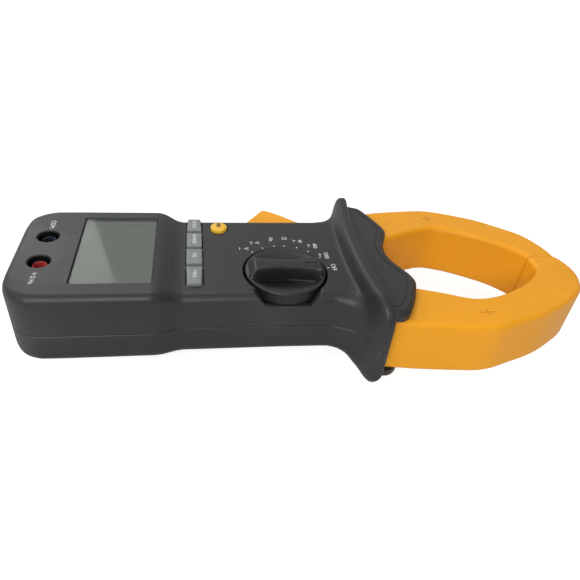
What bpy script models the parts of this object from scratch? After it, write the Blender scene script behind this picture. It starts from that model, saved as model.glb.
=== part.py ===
"""Clamp meter: a hand-held AC clamp meter with two jaws, a rotary dial, push buttons and a trigger
lever.  Each piece that would come off on a bench is one named object.

Dimensions are millimetres in a drawing frame: X runs from the test-lead end (0) to the jaw tips
(about 274), Y is across the meter with the moving jaw and the lever on +Y, and Z comes out of the
display face.  The model is in metres, with its origin at ORIGIN on the flat back of the rear case.
"""
import math

import bmesh
import bpy
from mathutils import Vector

# ---------------------------------------------------------------- frame and case (mm)
MM = 0.001
BACK_Z = 10.5                    # flat back of the handle
ORIGIN = (135.0, 0.0, BACK_Z)    # point of the drawing frame that becomes the model origin
ABOVE_Z = 60.0                   # cutting tools end here, clear of the display side
BELOW_Z = 5.0                    # tools start here, below the handle and the jaws
BELOW_HEAD_Z = 0.0               # tools start here, below the head as well

PART_Z = 25.4                    # parting plane of the two case halves
SEAM = 0.1                       # half the gap along the parting plane
WALL = 2.4
FLOOR_Z = BACK_Z + WALL          # floor inside the handle
FACE_CUT_Z = 38.0                # cuts through the face start here
END_CORNER_R = 15.5              # plan radius at the test-lead end
TOP_END_R = 4.0                  # rounding of the face into the test-lead end
BACK_END_R = 6.0                 # rounding of the back into the test-lead end

GUARD_WALL = 1.9
GUARD_FRONT_X = 163.5
GUARD_BOW = 4.4                  # how far the guard's upper rim sits back in the middle
GUARD_BOW_HALF_W = 50.0          # the bow dies out at this |y|
BOW_START_X, BOW_RUN = 147.0, 9.0   # the bow grows over this stretch of X
BOW_RISE = 12.0                  # and over this height above the parting plane
RIM_Y = (-50.0, -40.6, -24.4, -8.1, 8.1, 24.4, 40.6, 50.0)

# half width of the case: (x, half width)
HALF_WIDTH = (
    (0, 35.9), (60, 35.9), (63.5, 35.55), (67, 34.5), (70.5, 33.35), (74, 32.85), (118, 32.85),
    (128, 33.0), (140, 33.3), (144.7, 34.7), (148.9, 36.7), (152.4, 39.2), (154.6, 41.8),
    (155.8, 44.6), (156.7, 47.8), (157.6, 50.3), (158.6, 51.7), (159.9, 52.2), (161.4, 52.3),
    (162.6, 52.0), (163.2, 51.4), (163.5, 50.6))
# height of the face: (x, z)
TOP_Z = (
    (0, 46.6), (61, 46.6), (64, 46.2), (67.5, 44.8), (71, 43.2), (74, 42.7), (147, 42.7),
    (152.0, 42.9), (154.4, 43.4), (155.5, 44.8), (156.3, 46.9), (157.1, 48.7), (158.1, 49.7),
    (159.3, 50.1), (160.8, 50.1), (162.0, 49.7), (162.8, 48.9), (163.3, 47.7), (163.5, 46.4))
# height of the back: (x, z)
BOTTOM_Z = (
    (0, 10.5), (140.5, 10.5), (144.5, 10.2), (147.8, 9.2), (150.2, 7.7), (152.2, 5.7),
    (153.9, 4.0), (155.4, 3.1), (157.0, 2.7), (158.8, 2.6), (160.4, 2.8), (162.0, 3.6),
    (163.5, 5.0))
# radius of the long edges of the face and of the back: (x, radius)
TOP_RADIUS = ((0, 4.0), (60, 4.0), (74, 4.6), (138, 4.8), (148, 7.0), (156, 10.0), (160, 11.0),
              (163.5, 10.0))
BOTTOM_RADIUS = ((0, 4.0), (140, 4.0), (150, 5.0), (157, 6.5), (163.5, 7.0))
# X of the cross-sections of the case and of its cavity
CASE_X = (0.0, 1.0, 2.6, 5.0, 8.5, 13.0, 36.0, 61.0, 64.0, 67.5, 71.0, 74.0, 110.0, 140.0, 144.7,
          148.9, 152.0, 154.2, 155.8, 157.2, 158.4, 159.6, 161.2, 162.6, 163.5)
CAVITY_X = (WALL, WALL + 1.2, 5.6, 9.0, 13.5, 36.0, 61.0 - WALL, 64.0, 67.5, 71.0, 74.0, 110.0,
            140.0, 144.7, 148.2)

# ---------------------------------------------------------------- head opening and collar
SLOT_Z0, SLOT_Z1 = 9.0, 38.6     # opening in the head that takes the jaw bases
SLOT_STEP_X = 156.2              # behind this the head's floor is level with the handle's floor
SLOT_LAG = 2.1                   # how far the opening's widening lags behind its half-width table
SLOT_START_X = 147.5
SLOT_X = (151.0, 153.0, 155.0, 157.0, 158.4, 159.6, 160.8, 162.2)
SLOT_MOUTH = ((163.0, 49.9), (166.0, 60.0), (190.0, 60.0))   # (x, |y|) out through the jaw end
# half width the opening follows: (x, half width)
SLOT_HALF_WIDTH = (
    (144.7, 34.7), (148.9, 36.9), (152.8, 40.1), (156.2, 44.2), (158.1, 48.0), (159.4, 51.0),
    (160.6, 52.1), (162.0, 52.3), (162.8, 52.0), (163.5, 50.8))
COLLAR_TOP_Z = 44.0
COLLAR_BOTTOM_Z = 3.6
COLLAR_BEVEL = 1.9
# collar outline, (x, |y|), on the moving and the fixed jaw's side
COLLAR_MOVING_SIDE = (
    (158.0, 45.5), (163.8, 47.4), (170.5, 44.2), (174.3, 36.8), (178.4, 26.4), (179.3, 22.6),
    (178.6, 19.2), (176.1, 13.0), (174.3, 8.0), (173.5, 0.0))
COLLAR_FIXED_SIDE = (
    (158.0, 45.5), (165.0, 47.5), (168.2, 47.3), (171.2, 45.4), (173.6, 42.0), (176.4, 36.8),
    (179.0, 30.6), (181.2, 24.4), (181.5, 21.2), (180.6, 17.8), (177.8, 12.4), (175.2, 7.0))

# ---------------------------------------------------------------- jaws
FIXED, MOVING = -1, 1            # side of the meter each jaw lies on, as the sign of Y
JAW_SIDES = (("fixed", FIXED), ("moving", MOVING))
JAW_Z0, JAW_Z1 = 9.4, 38.2       # back and display-side faces of the jaws
JAW_EDGE_R = 2.6
BASE_STEP = 0.8                  # the jaw bases are this much lower than the jaw faces
SPLIT_Y = 3.4                    # plane where the two jaws meet
SPLIT_GAP = 0.15
FACE_Y = {MOVING: SPLIT_Y + SPLIT_GAP, FIXED: SPLIT_Y - SPLIT_GAP}

PIVOT = (161.5, 31.5)            # axis of the moving jaw
PIVOT_PIN_R = 2.45
PIVOT_BORE_R = 2.6
MOVING_ORIGIN = (*PIVOT, (JAW_Z0 + JAW_Z1) / 2)
JAW_ORIGIN = {FIXED: ORIGIN, MOVING: MOVING_ORIGIN}

# outer and inner jaw outlines, (x, y times side), from the tip face back to the head
JAW_OUTER = {
    MOVING: ((270.2, FACE_Y[MOVING]), (269.9, 7.0), (268.1, 14.2), (262.4, 25.4), (250.4, 35.6),
             (241.0, 42.2), (226.0, 48.9), (218.0, 51.6), (211.0, 52.9), (196.0, 52.0),
             (180.0, 49.8), (171.8, 47.6)),
    FIXED: ((270.95, -FACE_Y[FIXED]), (274.3, 7.0), (273.7, 14.2), (268.2, 25.4), (253.3, 36.1),
            (242.0, 42.0), (224.7, 48.0), (217.0, 50.4), (210.0, 51.3), (196.0, 50.4),
            (180.0, 48.8), (171.8, 47.6))}
JAW_INNER = {
    MOVING: ((254.1, FACE_Y[MOVING]), (253.5, 5.2), (250.9, 9.2), (243.5, 16.6), (233.2, 23.3),
             (225.8, 27.4), (218.4, 30.4), (212.0, 32.3), (206.7, 32.0), (196.0, 28.6),
             (180.0, 21.2), (172.0, 18.0)),
    FIXED: ((254.3, -FACE_Y[FIXED]), (254.0, 5.8), (251.5, 10.2), (243.5, 17.4), (233.2, 23.6),
            (225.8, 27.0), (218.4, 29.2), (212.0, 30.0), (206.7, 29.4), (196.0, 25.4),
            (180.0, 20.4), (172.0, 18.0))}
# extra (inner, outer) stations: fixed jaw at y = 0, fixed jaw in the head, end of both pockets
FIXED_CENTRE_STATION = ((254.25, 0.0), (272.6, 0.0))
FIXED_HEAD_STATIONS = [((172.0, 18.0), (169.6, 47.2)), ((163.0, 16.6), (163.2, 46.2))]
POCKET_END_STATION = ((174.5, 19.0), (174.5, 48.0))
POCKET_WALL = 2.3
POCKET_TOP_Z = 35.6

CORE_HALF_W = 3.5
CORE_Z0, CORE_Z1 = 18.8, 28.8
CORE_BORE_GAP = 0.15
CORE_BORE_EXTEND = 2.0           # the bore runs out through both end faces
CORE_TIP_X = 262.6
CORE_FIXED_CENTRE = (262.7, 0.0)
CORE_BASE = [(175.0, 31.5), (169.5, 25.5), (166.6, 17.5), (166.0, 10.0)]   # (x, y times side)
CORE_BASE_END_X = 166.0
COIL_X = (182.0, 194.0)
COIL_HALF_W = 6.2
COIL_Z0, COIL_Z1 = 15.4, 32.2
COIL_GAP = 0.2

# outlines of the jaw bases, (x, y)
FIXED_BASE = [
    (175.0, -22.5), (179.6, -21.9), (179.0, -19.5), (176.8, -15.0), (174.6, -9.0),
    (174.2, FACE_Y[FIXED]), (152.0, FACE_Y[FIXED]), (150.6, 0.0), (150.9, -34.0), (152.8, -35.6),
    (155.0, -37.6), (157.0, -39.9), (158.6, -42.2), (160.6, -45.2), (163.5, -45.8),
    (175.0, -45.4)]
MOVING_BASE_OUTER = [(175.0, 22.5), (175.0, 45.3), (171.9, 46.4)]
# the base's back edge round the pivot: (radius, degrees)
MOVING_BASE_POLAR = ((17.2, 62), (16.0, 66), (12.4, 74), (10.8, 80), (9.8, 87), (9.0, 96),
                     (8.5, 108), (8.4, 125), (8.5, 143), (9.4, 155))
MOVING_BASE_INNER = [
    (149.0, 31.8), (146.0, 29.4), (146.0, 23.5), (151.0, 20.5), (156.5, 14.0),
    (158.5, FACE_Y[MOVING]), (174.2, FACE_Y[MOVING]), (174.6, 9.0), (176.8, 15.0), (179.0, 19.5),
    (179.6, 21.9)]
MOVING_LUG_CUT = [(140.0, 16.0), (152.2, 16.0), (152.2, 36.0), (140.0, 36.0)]
MOVING_HEEL_CUT = [(140.0, -5.0), (158.0, -5.0), (158.0, 33.4), (165.8, 50.8), (140.0, 50.8)]
HEEL_CUT_Z = FLOOR_Z + 0.4       # jaw bases are relieved to here over the step in the floor

SPRING_POCKET_R = 6.4
SPRING_POCKET_Z = 31.0
SPRING_STEPS, SPRING_TURNS = 14, 3.25
SPRING_WIRE_R, SPRING_R = 0.5, 4.6
SPRING_Z, SPRING_HEIGHT = 31.9, 5.2

# ---------------------------------------------------------------- trigger lever
LEVER_Z0, LEVER_Z1 = 14.0, 37.0
LEVER_BEVEL = 0.9
LEVER_WINDOW = (99.5, 147.4, 26.0, 40.0)     # x from, x to, y from, y to
LEVER_GAP = 0.5
LEVER_OUTLINE = [
    (101.6, 33.0), (108.0, 41.6), (113.4, 49.0), (115.4, 51.8), (117.2, 52.9), (119.6, 52.2),
    (126.5, 47.6), (132.5, 42.4), (143.2, 33.6), (145.0, 30.6), (151.8, 29.6), (151.8, 23.0),
    (146.0, 23.0), (140.0, 24.0), (125.0, 27.6), (111.0, 30.6), (103.2, 30.6)]
LEVER_LUG_CUT = (145.2, 160.0, 15.0, 40.0, 22.2, ABOVE_Z)
LEVER_SCREW = (148.9, 25.2)
LEVER_SCREW_BORE_R = 1.3

# ---------------------------------------------------------------- face and electronics
# blocks centred on y = 0: x from, x to, half width, z from, z to
WINDOW = (27.0, 61.2, 26.7)      # display recess, without its z
LENS_GAP = 0.15
FACE_WINDOW = (30.2, 58.4, 24.0, FACE_CUT_Z, ABOVE_Z)
LCD_PANEL = (30.0, 58.6, 24.6, 41.4, 44.0)
LCD_FRAME = (27.4, 61.0, 27.6, 36.4, 44.0)
LCD_FRAME_SEAT = (29.7, 58.9, 24.9, 40.9, 50.0)
LCD_FRAME_OPENING = (33.0, 56.0, 21.0, 30.0, 50.0)
LCD_FRAME_STRIP_SLOT = (29.9, 32.4, 23.5, 30.0, 50.0)
ZEBRA_STRIP = (30.2, 32.1, 23.0, 34.75, 41.2)

BOARD_Z0, BOARD_Z1 = 33.0, 34.6
BOARD_OUTLINE = [
    (21.5, -30.3), (63.8, -30.3), (63.8, -24.2), (72.4, -24.2), (72.4, -29.6), (140.6, -29.6),
    (140.6, 5.6), (96.4, 5.6), (96.4, 29.6), (72.4, 29.6), (72.4, 24.2), (63.8, 24.2),
    (63.8, 30.3), (21.5, 30.3)]

KEY_X0, KEY_X1 = 75.4, 82.7      # column of four keys
KEY_Y = ((-24.2, -11.4), (-9.1, 2.9), (5.0, 17.1), (19.2, 30.2))
KEY_FOOT_Z, KEY_SHOULDER_Z, KEY_TOP_Z = 37.0, 39.0, 44.4
KEY_GAP = 0.25
KEY_FLANGE = 0.7                 # how far the flange stands out in X
KEY_BEVEL, KEY_BEVEL_H = 0.7, 0.6
MODE_X, MODE_Y, MODE_R = 91.3, 23.3, 4.15   # round key
MODE_FLANGE = 0.6
MODE_BEVEL = 0.6

DIAL_X, DIAL_Y = 120.6, -13.8    # axis of the rotary switch
DIAL_HOLE_R, DIAL_HOLE_Z = 19.7, 37.1
DIAL_R, DIAL_SKIRT_R = 18.7, 16.3
DIAL_SKIRT_Z, DIAL_BASE_Z, DIAL_RIM_Z, DIAL_TOP_Z = 37.35, 38.9, 43.4, 47.4
DIAL_ORIGIN_Z = 42.7
DIAL_NOTCH = ((109.6, DIAL_HOLE_Z), (130.4, DIAL_HOLE_Z), (136.5, 44.0), (103.1, 44.0))  # (x, z)
DIAL_NOTCH_Y = (-40.0, -28.0)
GRIP_X = (-15.0, -10.0, -5.0, 0.0, 5.0, 10.0, 15.0)     # stations along the dial's grip bar
GRIP_WAIST, GRIP_FLARE = 4.4, 2.2           # half width in the middle, extra at the last station
GRIP_END_X, GRIP_END_HALF_W = 17.4, 3.0
WIPER_R0, WIPER_R1 = 9.4, 13.2
WIPER_ANGLES = (20, 160)

JACK_X, JACK_Y, JACK_R = 12.7, 10.1, 4.9
JACKS = (("com", JACK_Y, "black"), ("volt", -JACK_Y, "red"))
INSULATOR_TOP_Z = 44.5
SOCKET_ORIGIN_Z = 43.2
INSULATOR_PROFILE = ((2.6, 25.8), (4.7, 25.8), (4.7, 30.0), (3.1, 30.0),
                     (3.1, INSULATOR_TOP_Z), (2.6, INSULATOR_TOP_Z))     # (radius, z)
SOCKET_PROFILE = ((2.02, 21.5), (2.5, 21.5), (2.5, 37.0), (2.02, 37.0))   # (radius, z)

# ---------------------------------------------------------------- battery and its door
BATTERY_X0, BATTERY_X1, BATTERY_HALF_W = 24.0, 72.5, 13.25
BATTERY_Z0, BATTERY_Z1 = 12.6, 30.1
BATTERY_BEVEL = 0.6
BATTERY_OPENING = (23.2, 74.4, 13.9, BELOW_Z, 20.0)
BAY_X0, BAY_X1 = 22.0, 77.4      # walls along both sides of the battery
BAY_Y0, BAY_Y1 = 14.1, 15.6
BAY_Z0, BAY_Z1 = 13.6, 30.6
BAY_END_X0, BAY_END_X1 = 20.6, 22.2
LEAD_R = 0.65
LEAD_PATH = ((1.0, 28.6), (1.0, 30.4), (2.4, 31.6), (4.4, 32.0), (6.6, 32.25))
# LEAD_PATH is (x beyond the battery, z)
DOOR_X0, DOOR_X1, DOOR_HALF_W = 20.0, 77.0, 18.5        # recess for the door
DOOR_TOP_Z = 12.0
DOOR_GAP = 0.2
DOOR_LEDGE = (18.0, 79.0, 19.8)  # x from, x to, half width
DOOR_SCREW = (70.8, -16.0)
DOOR_SCREW_BORE_R = 1.35
DOOR_SCREW_HEAD_Z = 10.6

# ---------------------------------------------------------------- screws
BOSS_Z = 11.2                    # foot of the rear bosses and of the door ledge
# x, y, reference z of the boss in the front case, z of the screw's tip
CASE_SCREWS = ((14.0, 24.5, 43.9, 34.0), (14.0, -24.5, 43.9, 34.0), (68.0, 28.2, 40.1, 34.0),
               (68.0, -28.2, 40.1, 34.0), (145.2, -25.5, 40.1, 33.0))
CASE_SCREW_HEAD_Z = 11.5
JAW_SCREWS = ((162.0, -34.0), (164.0, -14.0))
JAW_SCREW_HEAD_Z, JAW_SCREW_TIP_Z = 4.5, 14.0
SCREW_HEAD_R, SCREW_HEAD_H = 2.7, 1.7
SCREW_SHANK_R, SCREW_POINT = 1.3, 1.2
REAR_BORE_R, COUNTERBORE_R = 1.5, 2.95

# ---------------------------------------------------------------- scene and materials
for old in list(bpy.data.objects):
    bpy.data.objects.remove(old, do_unlink=True)

ROOT = bpy.data.objects.new("clamp_meter_root", None)
bpy.context.scene.collection.objects.link(ROOT)

# base colour, roughness, metallic
FINISHES = {
    "case": ((0.045, 0.047, 0.050), 0.52, 0.0),
    "case_dark": ((0.030, 0.031, 0.033), 0.5, 0.0),
    "amber": ((0.76, 0.34, 0.025), 0.42, 0.0),
    "yellow": ((0.80, 0.50, 0.06), 0.4, 0.0),
    "key": ((0.17, 0.175, 0.18), 0.5, 0.0),
    "glass": ((0.55, 0.58, 0.56), 0.08, 0.0),
    "lcd": ((0.20, 0.21, 0.18), 0.25, 0.0),
    "rubber": ((0.03, 0.03, 0.03), 0.8, 0.0),
    "red": ((0.45, 0.015, 0.015), 0.4, 0.0),
    "black": ((0.012, 0.012, 0.012), 0.4, 0.0),
    "brass": ((0.70, 0.47, 0.16), 0.3, 1.0),
    "steel": ((0.55, 0.56, 0.57), 0.32, 1.0),
    "core": ((0.22, 0.22, 0.24), 0.45, 1.0),
    "copper": ((0.62, 0.25, 0.08), 0.35, 0.6),
    "board": ((0.02, 0.16, 0.06), 0.4, 0.0),
    "battery": ((0.08, 0.08, 0.09), 0.35, 0.2),
    "white": ((0.65, 0.65, 0.62), 0.5, 0.0),
}


def make_material(name, colour, roughness, metallic):
    material = bpy.data.materials.new(name)
    material.use_nodes = True
    inputs = material.node_tree.nodes["Principled BSDF"].inputs
    inputs["Base Color"].default_value = (*colour, 1.0)
    inputs["Roughness"].default_value = roughness
    inputs["Metallic"].default_value = metallic
    return material


MATERIALS = {name: make_material(name, *finish) for name, finish in FINISHES.items()}


# ---------------------------------------------------------------- objects and booleans
def add_piece(name, solid, material=None, origin=ORIGIN):
    """Turn a bmesh drawn in millimetres into an object in metres with the given origin."""
    origin = Vector(origin)
    bmesh.ops.recalc_face_normals(solid, faces=solid.faces)
    bmesh.ops.translate(solid, verts=solid.verts, vec=-origin)
    bmesh.ops.scale(solid, verts=solid.verts, vec=(MM, MM, MM))
    mesh = bpy.data.meshes.new(name)
    solid.to_mesh(mesh)
    solid.free()
    piece = bpy.data.objects.new(name, mesh)
    bpy.context.scene.collection.objects.link(piece)
    piece.parent = ROOT
    piece.location = (origin - Vector(ORIGIN)) * MM
    if material:
        mesh.materials.append(MATERIALS[material])
    return piece


def boolean(target, solids, operation):
    """Cut or join bmeshes (millimetres) with a target object, one after another."""
    for solid in solids:
        tool = add_piece("tool", solid)
        modifier = target.modifiers.new("bool", "BOOLEAN")
        modifier.operation = operation
        modifier.object = tool
        modifier.solver = "EXACT"
        bpy.context.view_layer.update()
        graph = bpy.context.evaluated_depsgraph_get()
        mesh = bpy.data.meshes.new_from_object(target.evaluated_get(graph))
        target.modifiers.clear()
        old_mesh = target.data
        target.data = mesh
        mesh.name = target.name
        # keeps the material should the evaluated mesh come back without its slot
        if not mesh.materials:
            mesh.materials.append(old_mesh.materials[0])
        bpy.data.meshes.remove(old_mesh)
        bpy.data.objects.remove(tool, do_unlink=True)


def cut(target, *solids):
    boolean(target, solids, "DIFFERENCE")


def join(target, *solids):
    boolean(target, solids, "UNION")


# ---------------------------------------------------------------- outlines
def arc(x, y, radius, start, end, steps):
    angles = [math.radians(start + (end - start) * i / steps) for i in range(steps + 1)]
    return [(x + radius * math.cos(a), y + radius * math.sin(a)) for a in angles]


def circle(x, y, radius, segments):
    angles = [2 * math.pi * i / segments for i in range(segments)]
    return [(x + radius * math.cos(a), y + radius * math.sin(a)) for a in angles]


def round_rect(x0, x1, y0, y1, radius, steps):
    return (arc(x1 - radius, y1 - radius, radius, 0, 90, steps)
            + arc(x0 + radius, y1 - radius, radius, 90, 180, steps)
            + arc(x0 + radius, y0 + radius, radius, 180, 270, steps)
            + arc(x1 - radius, y0 + radius, radius, 270, 360, steps))


def centred_rect(x0, x1, half_width, radius, steps=2):
    """Rounded rectangle symmetric about y = 0."""
    return round_rect(x0, x1, -half_width, half_width, radius, steps)


def left_normal(start, end):
    """Unit vector to the left of the direction from start to end."""
    direction = (end - start).normalized()
    return Vector((-direction.y, direction.x))


def inset(outline, distance):
    """Offset a counter-clockwise outline inwards with mitred corners."""
    points = [Vector(point) for point in outline]
    moved = []
    for i, point in enumerate(points):
        following = points[(i + 1) % len(points)]
        miter = left_normal(points[i - 1], point) + left_normal(point, following)
        miter /= max(0.25, miter.length_squared / 2.0)
        moved.append((point.x + miter.x * distance, point.y + miter.y * distance))
    return moved


def along(table, x):
    """Monotone cubic through the (x, value) table, held level beyond its ends."""
    if x <= table[0][0]:
        return table[0][1]
    if x >= table[-1][0]:
        return table[-1][1]
    count = len(table) - 1
    spans = [table[i + 1][0] - table[i][0] for i in range(count)]
    slopes = [(table[i + 1][1] - table[i][1]) / spans[i] for i in range(count)]
    tangents = [slopes[0]]
    for before, after in zip(slopes, slopes[1:]):
        turns = before * after <= 0
        tangents.append(0.0 if turns else 2 * before * after / (before + after))
    tangents.append(slopes[-1])
    i = max(k for k in range(count) if table[k][0] <= x)
    t = (x - table[i][0]) / spans[i]
    return ((2 * t ** 3 - 3 * t ** 2 + 1) * table[i][1]
            + (t ** 3 - 2 * t ** 2 + t) * spans[i] * tangents[i]
            + (-2 * t ** 3 + 3 * t ** 2) * table[i + 1][1]
            + (t ** 3 - t ** 2) * spans[i] * tangents[i + 1])


# ---------------------------------------------------------------- solids
def skin_rings(rings, strip_caps=False):
    """Skin closed rings with the same number of points, and cap both ends.

    With strip_caps the caps are rows of quads between mirrored points, closed by one polygon.
    """
    solid = bmesh.new()
    rows = [[solid.verts.new(point) for point in ring] for ring in rings]
    count = len(rings[0])
    for row, following in zip(rows, rows[1:]):
        for i in range(count):
            j = (i + 1) % count
            solid.faces.new((row[i], row[j], following[j], following[i]))
    for row in (rows[0], rows[-1]):
        if strip_caps:
            last = count // 2 - 4
            for i in range(last):
                solid.faces.new((row[i], row[i + 1], row[count - 2 - i], row[count - 1 - i]))
            solid.faces.new(row[last:count - last])
        else:
            solid.faces.new(row)
    return solid


def stack(outline, levels):
    """Prism whose outline is inset at each (z, inset) level."""
    return skin_rings([[(x, y, z) for x, y in (inset(outline, depth) if depth else outline)]
                       for z, depth in levels])


def prism(outline, z0, z1):
    return stack(outline, ((z0, 0.0), (z1, 0.0)))


def box(x0, x1, y0, y1, z0, z1):
    return prism([(x0, y0), (x1, y0), (x1, y1), (x0, y1)], z0, z1)


def centred_box(x0, x1, half_width, z0, z1):
    return box(x0, x1, -half_width, half_width, z0, z1)


def cylinder(x, y, radius, segments, z0, z1):
    return prism(circle(x, y, radius, segments), z0, z1)


def lathe(cx, cy, profile, segments=24):
    """Solid of revolution about a vertical axis; (radius, z) from bottom axis to top axis."""
    solid = bmesh.new()
    rows = []
    for radius, z in profile:
        ring = circle(cx, cy, radius, segments) if radius > 1e-6 else [(cx, cy)]
        rows.append([solid.verts.new((x, y, z)) for x, y in ring])
    for low, high in zip(rows, rows[1:]):
        for i in range(segments):
            j = (i + 1) % segments
            if len(low) == 1:
                solid.faces.new((low[0], high[j], high[i]))
            elif len(high) == 1:
                solid.faces.new((low[i], low[j], high[0]))
            else:
                solid.faces.new((low[i], low[j], high[j], high[i]))
    return solid


def tube(x, y, profile, segments=24):
    """Ring-shaped solid: closed (radius, z) profile turned about a vertical axis."""
    solid = bmesh.new()
    columns = []
    for i in range(segments):
        angle = 2 * math.pi * i / segments
        columns.append([solid.verts.new((x + radius * math.cos(angle),
                                         y + radius * math.sin(angle), z))
                        for radius, z in profile])
    for i, column in enumerate(columns):
        following = columns[(i + 1) % segments]
        for k in range(len(profile)):
            m = (k + 1) % len(profile)
            solid.faces.new((column[k], following[k], following[m], column[m]))
    return solid


def wire_ring(centre, axis_u, axis_v, radius, segments):
    """Round cross-section of a wire in the plane of two unit vectors."""
    angles = [2 * math.pi * j / segments for j in range(segments)]
    return [tuple(centre + (axis_u * math.cos(a) + axis_v * math.sin(a)) * radius)
            for a in angles]


def sweep_bar(line, half_width, z0, z1, extend):
    """Rectangular bar along a plan polyline, its ends square to Y and optionally extended."""
    points = [Vector(point) for point in line]
    last = len(points) - 1
    rings = []
    for k, point in enumerate(points):
        i = max(k, 1)
        j = min(k, last - 1)
        normal = left_normal(points[i - 1], points[i])
        normal_sum = normal + left_normal(points[j], points[j + 1])
        if k in (0, last):
            side = Vector((1.0, 0.0))
            miter = 1.0
            if normal_sum.dot(side) < 0:
                side = -side
        else:
            side = normal_sum.normalized()
            miter = 1.0 / max(0.5, side.dot(normal))
        left = point + side * half_width * miter
        right = point - side * half_width * miter
        rings.append([(left.x, left.y, z0), (right.x, right.y, z0),
                      (right.x, right.y, z1), (left.x, left.y, z1)])
    if extend:
        start = math.copysign(extend, points[0].y - points[1].y)
        end = math.copysign(extend, points[-1].y - points[-2].y)
        rings.insert(0, [(x, y + start, z) for x, y, z in rings[0]])
        rings.append([(x, y + end, z) for x, y, z in rings[-1]])
    return skin_rings(rings)


# ---------------------------------------------------------------- case shapes
def section(x):
    """Half width, face height, back height and edge radii of the case at x."""
    half_width, top, bottom = along(HALF_WIDTH, x), along(TOP_Z, x), along(BOTTOM_Z, x)
    if x < END_CORNER_R:
        half_width += math.sqrt(END_CORNER_R ** 2 - (END_CORNER_R - x) ** 2) - END_CORNER_R
    if x < TOP_END_R:
        top -= TOP_END_R - math.sqrt(TOP_END_R ** 2 - (TOP_END_R - x) ** 2)
    if x < BACK_END_R:
        bottom += BACK_END_R - math.sqrt(BACK_END_R ** 2 - (BACK_END_R - x) ** 2)
    return half_width, top, bottom, along(TOP_RADIUS, x), along(BOTTOM_RADIUS, x)


def guard_sweep(y):
    """How far back the guard's upper rim sits at y."""
    return GUARD_BOW * (1.0 - min(1.0, abs(y) / GUARD_BOW_HALF_W) ** 2)


def half_ring(x, upper, wall, cut_z, steps=4):
    """Cross-section of one case half at x, inset by wall, closed along cut_z."""
    half_width, top, bottom, top_radius, bottom_radius = section(x)
    half_width -= wall
    radius = max(0.6, (top_radius if upper else bottom_radius) - wall)
    edge = (top - wall) if upper else (bottom + wall)
    up = 1 if upper else -1
    bow = 0.0
    if upper and not wall:
        bow = max(0.0, min(1.0, (x - BOW_START_X) / BOW_RUN))
    half = [(half_width, cut_z)]
    for i in range(steps + 1):
        angle = math.pi / 2 * i / steps
        half.append((half_width - radius + radius * math.cos(angle),
                     edge - up * radius + up * radius * math.sin(angle)))
    half += [((half_width - radius) * share, edge) for share in (0.6, 0.2)]
    ring = half + [(-y, z) for y, z in reversed(half)]
    return [(x - bow * guard_sweep(y) * max(0.0, min(1.0, (z - cut_z) / BOW_RISE)), y, z)
            for y, z in ring]


def case_half(upper):
    cut_z = PART_Z + (SEAM if upper else -SEAM)
    return skin_rings([half_ring(x, upper, 0.0, cut_z) for x in CASE_X], strip_caps=True)


def cavity_half(upper):
    cut_z = PART_Z + (-1.0 if upper else 1.0)
    return skin_rings([half_ring(x, upper, WALL, cut_z) for x in CAVITY_X], strip_caps=True)


def collar_outline():
    return [(x, -y) for x, y in COLLAR_FIXED_SIDE] + list(reversed(COLLAR_MOVING_SIDE))


def jaw_slot(z0, z1, x_from=0.0):
    """Opening in the head for the jaw bases, running out through the jaw end."""
    side = [(SLOT_START_X, along(SLOT_HALF_WIDTH, SLOT_START_X) - WALL - 0.4)]
    side += [(x, along(SLOT_HALF_WIDTH, x - SLOT_LAG) - GUARD_WALL) for x in SLOT_X]
    side += SLOT_MOUTH
    side = [(x, y) for x, y in side if x > x_from]
    return prism([(x, -y) for x, y in side] + list(reversed(side)), z0, z1)


def lever_window(z0, z1):
    return box(*LEVER_WINDOW, z0, z1)


# ---------------------------------------------------------------- case halves
def build_front_case():
    case = add_piece("front_case", case_half(True), "case")
    cut(case, cavity_half(True), jaw_slot(PART_Z - 1.0, SLOT_Z1))
    # trim the face above the opening back to the bowed rim
    rim = [(GUARD_FRONT_X - 0.15 - guard_sweep(y), y) for y in RIM_Y]
    cut(case, prism([(180.0, -50.0), (180.0, 50.0)] + list(reversed(rim)),
                    SLOT_Z1 - 0.5, ABOVE_Z))
    join(case, stack(collar_outline(), [(SLOT_Z1, 0.0), (41.9, 0.0),
                                        (COLLAR_TOP_Z, COLLAR_BEVEL)]))
    cut(case, centred_box(*WINDOW, 45.0, ABOVE_Z), centred_box(*FACE_WINDOW))
    for _, y, _ in JACKS:
        cut(case, cylinder(JACK_X, y, JACK_R, 32, FACE_CUT_Z, ABOVE_Z))
    for y0, y1 in KEY_Y:
        hole = round_rect(KEY_X0 - KEY_GAP, KEY_X1 + KEY_GAP, y0 - KEY_GAP, y1 + KEY_GAP, 1.0, 2)
        cut(case, prism(hole, FACE_CUT_Z, ABOVE_Z))
    cut(case, cylinder(MODE_X, MODE_Y, MODE_R + KEY_GAP, 24, FACE_CUT_Z, ABOVE_Z),
        cylinder(DIAL_X, DIAL_Y, DIAL_HOLE_R, 48, DIAL_HOLE_Z, ABOVE_Z))
    # tapered notch in the -Y edge beside the dial
    cut(case, skin_rings([[(x, y, z) for x, z in DIAL_NOTCH] for y in DIAL_NOTCH_Y]))
    cut(case, lever_window(PART_Z - 2.0, LEVER_Z1 + LEVER_GAP))
    for x, y, boss_z, _ in CASE_SCREWS:
        join(case, cylinder(x, y, 3.0, 14, PART_Z + SEAM, boss_z + 0.8))
        cut(case, cylinder(x, y, 1.45, 12, PART_Z - 2.0, boss_z - 2.0))
    cut(case, cylinder(*PIVOT, PIVOT_BORE_R, 24, SLOT_Z1 - 1.0, 42.6))


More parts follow.
